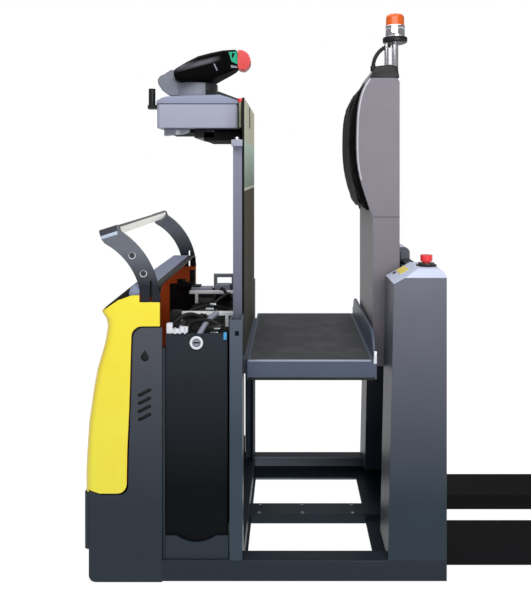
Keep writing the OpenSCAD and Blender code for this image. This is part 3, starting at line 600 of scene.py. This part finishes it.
    def finish(self, name, body, slot, *replaced):
        """Makes the object, in metres, riding on its body."""
        bmesh.ops.scale(self.bm, vec=(MM, MM, MM), verts=self.bm.verts[:])
        mesh = bpy.data.meshes.new(name)
        self.bm.to_mesh(mesh)
        self.bm.free()
        for f in self.finishes:
            mesh.materials.append(f.mat)
        mesh.shade_smooth()
        mesh.set_sharp_from_angle(angle=math.radians(SMOOTH_DEGREES))
        obj = bpy.data.objects.new(name, mesh)
        COLLECTION.objects.link(obj)
        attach(obj, body)
        if replaced:
            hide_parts(*replaced)
        return obj


def bow(start, end, sag, steps=15):
    """Points of a lead between two places, hanging by sag or, where that is below 0, rising."""
    start = Vector(start)
    run = Vector(end) - start
    drop = Vector((0.0, 0.0, sag))
    return [start + run * (i / steps) - drop * math.sin(math.pi * i / steps) for i in range(steps + 1)]


def build_grab_details():
    """Bolts of the grab arms and the folded end of the bar at each arm's tip."""
    s = Shape(zinc)
    for x, z in ((-1019.6, 1099.4), (-983.5, 1042.1)):
        s.use(zinc).lathe((x, NEAR_FACE_Y, z), NEARWARD, [(8.6, 0.0), (12.0, 0.0), (11.6, 1.6), (9.2, 2.0),
                                                          (8.6, 1.5)], 32)
        s.use(dark_steel).bolt((x, NEAR_FACE_Y, z), NEARWARD, 6.9, 4.0, 0.55)
    tip = [(-1118.5, 1151.3), (-1065.7, 1172.0), (-1065.7, 1130.4), (-1094.0, 1129.0), (-1108.5, 1138.4)]
    fold = [(-1121.6, 1160.8), (-1068.2, 1177.8), (-1065.0, 1167.5), (-1117.8, 1150.6)]
    rim = [(-1125.5, 1180.0), (-1069.8, 1197.6), (-1067.2, 1178.4), (-1122.2, 1161.4)]
    s.use(arm_paint).plate(tip, -400.4, -387.6, 0.4)
    s.use(bright_edge).plate(fold, -401.4, -387.0, 0.5)
    s.use(dark_steel).plate(rim, -400.7, -387.3, 0.4)
    s.mirrored().finish("grab_arm_tips", "chassis", "bright_steel")


def build_hood_shade_sheets():
    """Black sheets inside the hood's rear end, a painted shade; the orange-red painted shade of the inside
    shows round them.
    """
    s = Shape(black_plastic)
    s.block((-1046.0, -391.4, 560.0), (-930.0, -388.2, 874.0))
    s.block((-1012.0, -388.0, 846.0), (-974.0, -382.0, 894.0), 1.0)
    s.block((-956.0, -388.0, 864.0), (-933.0, -382.0, 934.0), 1.0)
    s.block((-1001.0, -388.0, 846.0), (-933.0, -380.0, 882.0), 1.0)
    s.mirrored().finish("hood_shade_sheets", "chassis", "cover_black")


def build_battery_locks():
    """Round turn locks of the battery's side panels."""
    x, z = -815.5, 818.0
    face = -391.0
    ring = [(13.5, 0.0), (21.5, 0.0), (21.5, 1.2), (20.0, 2.4), (15.0, 2.4), (13.5, 1.2)]
    plug = [(0.0, 0.0), (12.6, 0.0), (12.6, 2.0), (11.6, 3.0), (0.0, 3.0)]
    s = Shape(white_plastic)
    s.lathe((x, face, z), NEARWARD, ring, 40)
    s.use(grey_plastic).lathe((x, face + 4.5, z), NEARWARD, plug, 32)
    s.use(black_plastic).block((x - 10.0, face - 0.4, z - 2.2), (x + 10.0, face + 2.0, z + 2.2), 0.8)
    s.mirrored().finish("battery_locks", "chassis", "bright_steel")


def build_battery_fittings():
    """Connectors, hose and leads on the battery, and the body of the far latch."""
    s = Shape(white_plastic)
    s.block((-914.0, -384.0, 845.4), (-895.0, -364.0, 878.0), 2.5)
    s.block((-896.0, -384.0, 845.4), (-872.0, -370.0, 860.0), 2.5)
    s.block((-874.0, -384.0, 847.4), (-845.0, -366.0, 866.0), 2.5)
    s.use(zinc)
    for x in (-888.0, -872.0, -856.0):
        s.block((x, -386.0, 838.0), (x + 6.0, -383.5, 866.0), 0.8)
    s.bolt((-868.0, -375.0, 867.0), UP, 5.0)
    s.use(black_plastic)
    s.block((-906.0, -330.0, 838.0), (-862.0, -282.0, 864.0), 3.0)
    s.block((-860.0, -322.0, 840.0), (-846.0, -292.0, 860.0), 2.0)
    for x in (-902.0, -892.0, -882.0, -872.0):
        s.block((x, -333.0, 841.0), (x + 5.0, -329.0, 861.0), 1.0)
    s.block((-782.0, -352.0, 845.5), (-738.0, -318.0, 862.0), 2.0)
    # Closes the near grab arm's slot from behind
    s.block((-967.0, -388.0, 965.0), (-953.0, -386.6, 1019.0))
    s.use(zinc)
    s.block((-764.0, -354.0, 852.0), (-744.0, -350.5, 857.0), 1.0)
    s.block((-776.0, -362.0, 841.0), (-750.0, -354.0, 845.0), 1.0)
    s.block((-800.0, -170.0, 893.0), (-778.0, -158.0, 898.0), 1.0)
    s.block((-812.0, -190.0, 881.0), (-784.0, -178.0, 886.0), 1.0)
    s.use(blue_plastic).block((-729.0, -390.5, 827.0), (-718.5, -386.0, 851.0), 1.5)
    s.finish("battery_connectors", "chassis", "battery_black")

    hose = Shape(grey_plastic)
    run = []
    for i in range(61):
        t = i / 60
        z = 884.0 + 12.0 * math.sin(math.pi * t) - 60.0 * t
        run.append((-764.0 - 54.0 * t, -255.0 - 105.0 * t, z))
    hose.tube(run, 8.5, 12, 1.6)
    hose.finish("battery_hose", "chassis", "lead_black")

    leads = Shape(lead_rubber)
    for start, end, sag in (((-905.0, -305.0, 860.0), (-812.0, -252.0, 862.0), -24.0),
                            ((-850.0, -300.0, 858.0), (-742.0, -330.0, 858.0), -16.0),
                            ((-812.0, 252.0, 862.0), (-770.0, 150.0, 866.0), -20.0),
                            ((-812.0, -230.0, 866.0), (-760.0, 230.0, 862.0), -14.0),
                            ((-900.0, -120.0, 850.0), (-740.0, -60.0, 852.0), -22.0)):
        leads.tube(bow(start, end, sag), 6.5, 10)
    leads.finish("battery_cables", "chassis", "lead_black")

    far = Shape(grey_plastic)
    far.block((-926.0, 217.0, 866.0), (-838.0, 262.0, 886.0), 2.0)
    far.block((-829.0, 240.0, 852.0), (-765.0, 290.0, 894.0), 4.0)
    far.use(black_plastic).block((-828.0, 246.0, 828.0), (-768.0, 288.0, 852.0), 2.0)
    far.use(zinc).block((-793.0, 217.0, 864.0), (-764.0, 236.0, 872.0), 1.0)
    far.finish("battery_latch_body", "chassis", "battery_black")


def build_backrest_trim():
    """Bright rolled edge of the side shells, and the seam under them."""
    front = -224.5
    top = 1697.0
    edge = ((14, 0), (26, 18), (37, 41), (45, 66), (51, 95), (55, 128), (57, 165), (58, 205), (58, 245),
            (56, 287), (52, 320), (45, 354))
    s = Shape(shell_light)
    s.tube([(front - reach + 5.0, -204.5, top - depth - 4.0) for reach, depth in edge], 2.8, 8)
    s.use(black_plastic)
    s.block((front + 1.0, -205.4, 1208.0), (-131.0, -204.0, 1210.0))
    s.mirrored().finish("backrest_shell_trim", "platform", "shell_grey")


def build_housing_fittings():
    """Collar of the emergency stop, blank yellow plate and key switch."""
    collar = [(14.0, 0.0), (34.0, 0.0), (34.0, 3.5), (31.0, 5.0), (16.0, 5.0), (14.0, 4.0)]
    key = [(0.0, 0.0), (6.5, 0.0), (6.5, 3.0), (5.0, 4.5), (0.0, 4.5)]
    slope = Matrix.Rotation(math.atan2(46.0, -83.0) - math.pi, 4, "Y")
    s = Shape(black_plastic)
    s.lathe((-59.5, -310.0, 1054.0), UP, collar, 40)
    s.use(yellow_plate).slab((-134.5, -278.0, 1035.4), (33.0, 84.0, 1.6), slope)
    s.use(dark_steel).lathe((-158.0, -262.0, 1021.6), (-0.485, 0.0, 0.875), key, 24)
    s.finish("housing_switches", "chassis", "cap_black")


def build_console_fittings():
    """Display, red button, switches and brackets of the console."""
    shade = [(-778.0, 1648.0), (-772.0, 1657.0), (-700.0, 1630.0), (-700.0, 1614.0), (-772.0, 1642.0)]
    wedge = [(-966.0, 1521.5), (-876.0, 1521.5), (-876.0, 1512.0), (-900.0, 1503.0), (-966.0, 1497.0)]
    s = Shape(black_plastic)
    s.block((-697.2, -198.0, 1524.0), (-694.0, 198.0, 1612.0), 0.8)
    s.use(olive_plastic).block((-694.2, -198.0, 1524.0), (-687.0, 198.0, 1612.0), 1.0)
    s.use(black_plastic).block((-687.2, -199.0, 1521.0), (-678.5, 199.0, 1616.0), 2.0)
    s.block((-984.0, -200.6, 1604.8), (-697.5, 200.6, 1607.4))
    s.use(gloss_black).block((-679.5, -80.0, 1545.0), (-677.5, 80.0, 1603.0), 1.0)
    s.use(red_gloss).rod((-691.0, -168.0, 1612.0), (-691.0, -168.0, 1629.0), 10.5, 9.0, 24, 2.0)
    s.use(grey_plastic)
    for y in (110.0, 135.0, 160.0):
        s.rod((-679.0, y, 1575.0), (-674.5, y, 1575.0), 8.0, 7.4, 20, 1.0)
    s.use(black_plastic).plate(shade, -150.0, 150.0, 1.0)
    s.use(gloss_black).block((-667.6, -40.0, 1532.0), (-665.6, -10.0, 1612.0), 0.5)
    # Painted shadow: a black block under the console stands for the shade beneath it.
    s.use(black_plastic).block((-858.0, -150.0, 1489.0), (-785.0, 150.0, 1522.0), 2.0)
    s.finish("console_display", "platform", "panel_grey")

    u = Shape(grey_plastic)
    u.plate(wedge, -152.0, -120.0, 1.0)
    u.use(zinc).bolt((-916.0, -152.0, 1511.0), NEARWARD, 7.0)
    u.finish("console_wedge", "platform", "panel_grey")

    b = Shape(console_paint)
    b.block((-709.0, -333.0, 1452.0), (-672.5, -297.0, 1474.0), 1.5)
    b.use(zinc).bolt((-691.0, -315.0, 1474.0), UP, 8.0, 9.0)
    b.mirrored().finish("console_brackets", "platform", "panel_grey")


# The tiller: its turning axis, the head's half widths at both ends and where it narrows
TILLER_X = -872.5
TILLER_Z = 1650.5
HEAD_HALF = 130.0
GRIP_HALF = 34.0
TAPER_START = -885.0
TAPER_END = -700.0
EYE_X = -518.5
EYE_Z = 1364.0
EYE_REACH = 2441.0


def tapered(shape):
    """Draws the head in towards the truck's middle, keeping its outline as seen from the side."""
    for v in shape.bm.verts:
        x, y, z = v.co
        share = min(max((x - TAPER_START) / (TAPER_END - TAPER_START), 0.0), 1.0)
        half = HEAD_HALF + (GRIP_HALF - HEAD_HALF) * share
        ratio = (EYE_REACH - half) / (EYE_REACH - HEAD_HALF)
        v.co = Vector((EYE_X + (x - EYE_X) * ratio, y * half / HEAD_HALF, EYE_Z + (z - EYE_Z) * ratio))
    return shape


def tiller_outline(pairs):
    """Side outline from points measured from the tiller's axis at its foot."""
    return [(TILLER_X + x, TILLER_Z + z) for x, z in pairs]


def build_tiller():
    """Tiller head that narrows to its grip end, with the coloured inserts and the red switch."""
    head = [(-64, 56), (-67, 88), (-18, 117), (24, 138), (72, 150), (114, 158), (168, 161), (168, 92),
            (140, 80), (97, 65), (62, 52), (-45, 50.3)]
    s = Shape(head_black)
    s.plate(tiller_outline(head), -HEAD_HALF, HEAD_HALF, 13.5, 5)
    long_edges = [e for e in s.bm.edges if e.calc_length() > 60.0]
    bmesh.ops.subdivide_edges(s.bm, edges=long_edges, cuts=6, use_grid_fill=True)
    tapered(s).finish("tiller_grip_head", "tiller", "tiller_black", "tiller_head")

    rim = tiller_outline([(168.3, 91), (168.3, 160)])
    for i in range(13):
        turn = math.radians(78.0 - 12.5 * i)
        rim.append((TILLER_X + 176.0 + 38.0 * math.cos(turn), TILLER_Z + 121.0 + 38.0 * math.sin(turn)))
    r = Shape(control_red)
    r.plate(rim, -122.0, 122.0, 6.0, 3)
    tapered(r).finish("tiller_switch", "tiller", "control_red", "tiller_controls")

    insert = [(-737.5, 1801.0), (-706.0, 1803.0), (-704.8, 1778.0), (-704.8, 1757.0), (-726.0, 1767.0),
              (-731.0, 1783.0)]
    button = [(-730.0, 1754.0), (-706.0, 1750.0), (-706.0, 1744.0), (-727.0, 1744.0)]
    mark = [(-792.0, 1759.0), (-787.0, 1760.0), (-776.0, 1735.0), (-780.0, 1733.0)]
    notch = [(-724.0, 1799.0), (-714.0, 1796.0), (-722.0, 1778.0), (-726.0, 1784.0)]
    c = Shape(turquoise)
    c.plate(insert, -131.0, -118.0, 1.0)
    c.use(grey_plastic).plate(button, -130.9, -118.0, 0.6)
    c.plate(mark, -130.9, -118.0, 0.6)
    c.use(gloss_black).plate(notch, -131.6, -118.0, 0.6)
    tapered(c).mirrored().finish("tiller_inserts", "tiller", "control_red")

    hub = [(0.0, 0.0), (80.5, 0.0), (82.0, 1.5), (82.0, 47.5), (80.0, 49.9), (0.0, 49.9)]
    arm = [(-58, 0.2), (-92, 1), (-118, 20), (-134, 44), (-137, 62), (-127, 76), (-112, 82), (-88, 98),
           (-70, 98), (-70, 58), (-58, 49.7)]
    b = Shape(base_grey)
    b.lathe((TILLER_X, 0.0, TILLER_Z), UP, hub, 64)
    b.plate(tiller_outline(arm), -60.0, 60.0, 5.0, 3)
    b.finish("tiller_cast_base", "tiller", "tiller_grey", "tiller_base")

    d = Shape(black_plastic)
    d.rod((-823.4, -60.0, 1674.7), (-820.8, -71.0, 1674.7), 5.5, None, 20, 1.0)
    d.finish("tiller_base_screw", "tiller", "tiller_grey")


def build_cap():
    """Backrest cap with sloped ends."""
    outline = [(-233.5, 1697.4), (-212.4, 1740.0), (-160.0, 1745.5), (-136.0, 1740.0), (-128.5, 1697.4)]
    s = Shape(black_plastic)
    s.plate(outline, -197.0, 197.0, 5.0, 3)
    s.finish("backrest_cap_cover", "platform", "cap_black", "backrest_cap")


def build_platform_fittings():
    """Bright edge, end cap and dark foot of the platform's sides."""
    s = Shape(zinc_edge)
    s.block((-652.0, -350.9, 745.5), (-250.0, -344.0, 750.8), 0.8)
    s.use(zinc).block((-241.0, -352.0, 738.0), (-229.5, -343.0, 779.0), 2.0)
    s.use(black_plastic).block((-653.0, -350.4, 684.5), (-236.0, -342.0, 694.0), 0.8)
    s.mirrored().finish("platform_edges", "platform", "side_paint")


def build_beam_bolts():
    """Bolts on the centre beam."""
    s = Shape(bare_steel)
    for x in (-684.0, -631.6, -467.6, -277.2):
        for y in (-30.0, 30.0):
            s.bolt((x, y, 80.0), UP, 6.0)
    s.finish("beam_bolts", "chassis", "bright_steel")


def build_beacon():
    """Beacon on two tubes, with its ribbed conduit."""
    x, y, z = -138.0, -150.0, 1748.0
    bend = 78.0
    body = [(0.0, 0.0), (34.0, 0.0), (35.0, 3.0), (35.0, 28.0), (34.0, 30.0), (35.5, 32.0), (35.5, 40.0),
            (34.0, 42.0), (0.0, 42.0)]
    foot = [(0.0, 0.0), (38.0, 0.0), (42.5, 3.0), (44.0, 8.0), (44.0, 18.0), (42.5, 20.0), (0.0, 20.0)]
    lens = [(0.0, 0.0), (32.0, 0.0), (33.0, 1.0), (32.5, 30.0), (30.0, 36.0), (25.0, 40.0), (16.0, 41.6),
            (0.0, 42.0)]
    s = Shape(chrome)
    s.rod((x, y, z - 30.0), (x, y, z + 82.0), 12.0, None, 24)
    s.rod((x - 30.0, y, z - 20.0), (x - 30.0, y, z + 82.0), 8.0, None, 20)
    s.lathe((x, y, z + 100.0), UP, body, 48)
    s.use(black_plastic).lathe((x, y, z + 80.0), UP, foot, 48)
    ribbed = []
    for i in range(57):
        turn = math.radians(78.0 * i / 56)
        ribbed.append((x - bend * math.cos(turn), y, z - 5.0 + 80.0 * math.sin(turn)))
    s.tube(ribbed, 6.2, 12, 1.6)
    s.rod((x - bend, y, z - 20.0), (x - bend, y, z), 10.0, None, 20, 1.5)
    s.finish("beacon_mount", "platform", "cap_black", "beacon_stand")

    d = Shape(orange)
    d.lathe((x, y, z + 142.3), UP, lens, 48)
    d.finish("beacon_lens", "platform", "beacon_orange", "beacon_dome")


# Wheel axles
DRIVE_X = -1037.5
DRIVE_Z = 100.0
CASTOR_X = -1007.5
CASTOR_Y = 270.0
CASTOR_Z = 62.5


def build_wheel_faces():
    """Hub plates on the drive wheel and castors, with bolts on the drive wheel's."""
    plate = [(12.0, 0.0), (62.0, 0.0), (60.0, 2.5), (26.0, 4.0), (24.0, 7.0), (12.0, 7.0)]
    small = [(11.0, 0.0), (42.0, 0.0), (40.0, 2.0), (20.0, 3.0), (11.0, 3.0)]
    bolt_circle = 42.0
    drive = Shape(bare_steel)
    for side in (-1.0, 1.0):
        y = side * 37.2
        drive.lathe((DRIVE_X, y, DRIVE_Z), (0.0, side, 0.0), plate, 40)
        for i in range(6):
            turn = math.radians(60.0 * i)
            x = DRIVE_X + bolt_circle * math.cos(turn)
            z = DRIVE_Z + bolt_circle * math.sin(turn)
            drive.bolt((x, y + side * 2.0, z), (0.0, side, 0.0), 6.0)
    drive.finish("drive_wheel_hub", "drive_wheel_body", "bright_steel")
    for name, y0 in (("left", -CASTOR_Y), ("right", CASTOR_Y)):
        hub = Shape(bare_steel)
        for side in (-1.0, 1.0):
            hub.lathe((CASTOR_X, y0 + side * 19.8, CASTOR_Z), (0.0, side, 0.0), small, 32)
        hub.finish("castor_hub_" + name, "castor_" + name + "_wheel", "bright_steel")


def build_fasteners():
    """Bolts of the rear plate and the apron."""
    s = Shape(bare_steel)
    for z in (220.0, 340.0, 460.0, 580.0, 700.0, 820.0, 940.0):
        for y in (-150.0, 150.0):
            s.bolt((-13.5, y, z), (1.0, 0.0, 0.0), 6.5)
    for y in (-340.0, -120.0, 120.0, 340.0):
        for z in (185.0, 310.0):
            s.bolt((-1176.5, y, z), (-1.0, 0.0, 0.0), 7.0)
    s.finish("plate_bolts", "chassis", "bright_steel")


# The cushion's pad, in metres
PAD_INSET = 0.007
PAD_VOXEL = 0.007
PAD_REACH = 0.010
PAD_BACK = 0.004
PAD_STEPS = 20


def swollen_pad():
    """The back cushion as cloth, blown up from a slightly smaller form inside its CAD solid."""
    bm = bmesh.new()
    bm.from_mesh(nodes["backrest_cushion"].data)
    bmesh.ops.remove_doubles(bm, verts=bm.verts[:], dist=0.00002)
    low, high = [Vector(corner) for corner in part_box("backrest_cushion")]
    middle = (low + high) / 2
    ratio = [(s - 2 * PAD_INSET) / s for s in high - low]
    for v in bm.verts:
        v.co = Vector([middle[i] + (v.co[i] - middle[i]) * ratio[i] for i in range(3)])
    mesh = bpy.data.meshes.new("backrest_pad")
    bm.to_mesh(mesh)
    bm.free()
    pad = bpy.data.objects.new("backrest_pad", mesh)
    COLLECTION.objects.link(pad)
    remesh = pad.modifiers.new("voxels", "REMESH")
    remesh.mode = "VOXEL"
    remesh.voxel_size = PAD_VOXEL
    take_modifiers(pad)
    start = [v.co.copy() for v in pad.data.vertices]
    back = pad.vertex_groups.new(name="back")
    limit = max(c.x for c in start) - PAD_BACK
    back.add([i for i, c in enumerate(start) if c.x > limit], 1.0, "REPLACE")
    cloth = pad.modifiers.new("cloth", "CLOTH")
    cloth.settings.vertex_group_mass = "back"
    cloth.settings.quality = 5
    cloth.settings.use_pressure = True
    cloth.settings.uniform_pressure_force = 4.0
    cloth.settings.effector_weights.gravity = 0.0
    scene = bpy.context.scene
    for step in range(1, PAD_STEPS + 1):
        scene.frame_set(step)
    take_modifiers(pad)
    scene.frame_set(1)
    for v, c in zip(pad.data.vertices, start):
        moved = v.co - c
        if moved.length > PAD_REACH:
            v.co = c + moved * (PAD_REACH / moved.length)
    smooth = pad.modifiers.new("smooth", "SUBSURF")
    smooth.levels = 1
    smooth.render_levels = 1
    take_modifiers(pad)
    pad.data.materials.clear()
    pad.data.materials.append(leather.mat)
    pad.data.shade_smooth()
    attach(pad, "platform")
    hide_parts("backrest_cushion")


def take_modifiers(obj):
    """Makes the evaluated mesh the object's own."""
    graph = bpy.context.evaluated_depsgraph_get()
    made = bpy.data.meshes.new_from_object(obj.evaluated_get(graph))
    obj.modifiers.clear()
    old = obj.data
    obj.data = made
    bpy.data.meshes.remove(old)


build_grab_details()
build_hood_shade_sheets()
build_battery_locks()
build_battery_fittings()
build_backrest_trim()
build_housing_fittings()
build_console_fittings()
build_tiller()
build_cap()
build_platform_fittings()
build_beam_bolts()
build_beacon()
build_wheel_faces()
build_fasteners()
swollen_pad()

# Studio
WHITE = (1.0, 1.0, 1.0, 1.0)
FLOOR_GREY = (0.8, 0.8, 0.8, 1.0)
FLOOR_GLOW = 1.1
GLOW_SHARE = 0.9
FLOOR_HALF_M = 30.0
SKY_LIGHT = 0.25
LENS_MM = 38.3
SENSOR_MM = 36.0
LENS_SHIFT = (-0.039, -0.212)
CAMERA_PLACE = (-0.5185, -2.441, 1.364)
# Name, place, aim, size in metres and power in watts
LAMPS = (
    ("key_lamp", (-0.7, -2.1, 2.9), (-0.5, 0.0, 1.2), (3.0, 1.4), 46),
    ("top_lamp", (-0.5, 0.3, 3.3), (-0.5, 0.0, 1.0), (2.6, 1.6), 25),
    ("fill_lamp", (0.5, -2.9, 1.5), (-0.5, 0.0, 1.2), (1.4, 1.0), 26),
    ("back_lamp", (-0.5, 2.9, 2.7), (-0.5, 0.0, 0.9), (2.6, 1.4), 12),
)
bpy.context.scene.view_settings.view_transform = "Standard"


def floor_material():
    """Pale floor that looks white to the camera and in reflections, and keeps the shadow."""
    mat = bpy.data.materials.new("pale_floor")
    mat.use_nodes = True
    tree = mat.node_tree
    shader = tree.nodes["Principled BSDF"]
    shader.inputs["Base Color"].default_value = FLOOR_GREY
    shader.inputs["Roughness"].default_value = 0.9
    glow = tree.nodes.new("ShaderNodeEmission")
    glow.inputs["Color"].default_value = WHITE
    glow.inputs["Strength"].default_value = FLOOR_GLOW
    path = tree.nodes.new("ShaderNodeLightPath")
    seen = tree.nodes.new("ShaderNodeMath")
    seen.operation = "MAXIMUM"
    tree.links.new(path.outputs["Is Camera Ray"], seen.inputs[0])
    tree.links.new(path.outputs["Is Glossy Ray"], seen.inputs[1])
    share = tree.nodes.new("ShaderNodeMath")
    share.operation = "MULTIPLY"
    share.inputs[1].default_value = GLOW_SHARE
    tree.links.new(seen.outputs[0], share.inputs[0])
    blend = tree.nodes.new("ShaderNodeMixShader")
    tree.links.new(share.outputs[0], blend.inputs[0])
    tree.links.new(shader.outputs[0], blend.inputs[1])
    tree.links.new(glow.outputs[0], blend.inputs[2])
    tree.links.new(blend.outputs[0], tree.nodes["Material Output"].inputs["Surface"])
    return mat


def add_floor():
    """Plain floor of the studio."""
    bm = bmesh.new()
    bmesh.ops.create_grid(bm, x_segments=1, y_segments=1, size=FLOOR_HALF_M)
    mesh = bpy.data.meshes.new("studio_floor")
    bm.to_mesh(mesh)
    bm.free()
    mesh.materials.append(floor_material())
    floor = bpy.data.objects.new("studio_floor", mesh)
    COLLECTION.objects.link(floor)


def add_world():
    """Even sky: white to the camera, weaker as light on the object."""
    world = bpy.data.worlds.new("studio_world")
    bpy.context.scene.world = world
    world.use_nodes = True
    tree = world.node_tree
    back = tree.nodes["Background"]
    back.inputs["Color"].default_value = WHITE
    path = tree.nodes.new("ShaderNodeLightPath")
    scale = tree.nodes.new("ShaderNodeMapRange")
    tree.links.new(path.outputs["Is Camera Ray"], scale.inputs[0])
    scale.inputs["To Min"].default_value = SKY_LIGHT
    scale.inputs["To Max"].default_value = 1.0
    tree.links.new(scale.outputs[0], back.inputs["Strength"])


def add_lamp(name, place, aim, size, power):
    """One soft rectangular lamp, aimed at a point."""
    lamp = bpy.data.lights.new(name, "AREA")
    lamp.shape = "RECTANGLE"
    lamp.size, lamp.size_y = size
    lamp.energy = power
    obj = bpy.data.objects.new(name, lamp)
    obj.location = place
    obj.rotation_euler = (Vector(aim) - Vector(place)).to_track_quat("-Z", "Y").to_euler()
    COLLECTION.objects.link(obj)


def add_camera():
    """Camera at the photograph's viewing angle."""
    cam = bpy.data.cameras.new("camera")
    cam.sensor_width = SENSOR_MM
    cam.lens = LENS_MM
    cam.shift_x, cam.shift_y = LENS_SHIFT
    obj = bpy.data.objects.new("camera", cam)
    obj.location = CAMERA_PLACE
    obj.rotation_euler = (math.radians(90), 0, 0)
    COLLECTION.objects.link(obj)
    bpy.context.scene.camera = obj


add_floor()
add_world()
for lamp in LAMPS:
    add_lamp(*lamp)
add_camera()
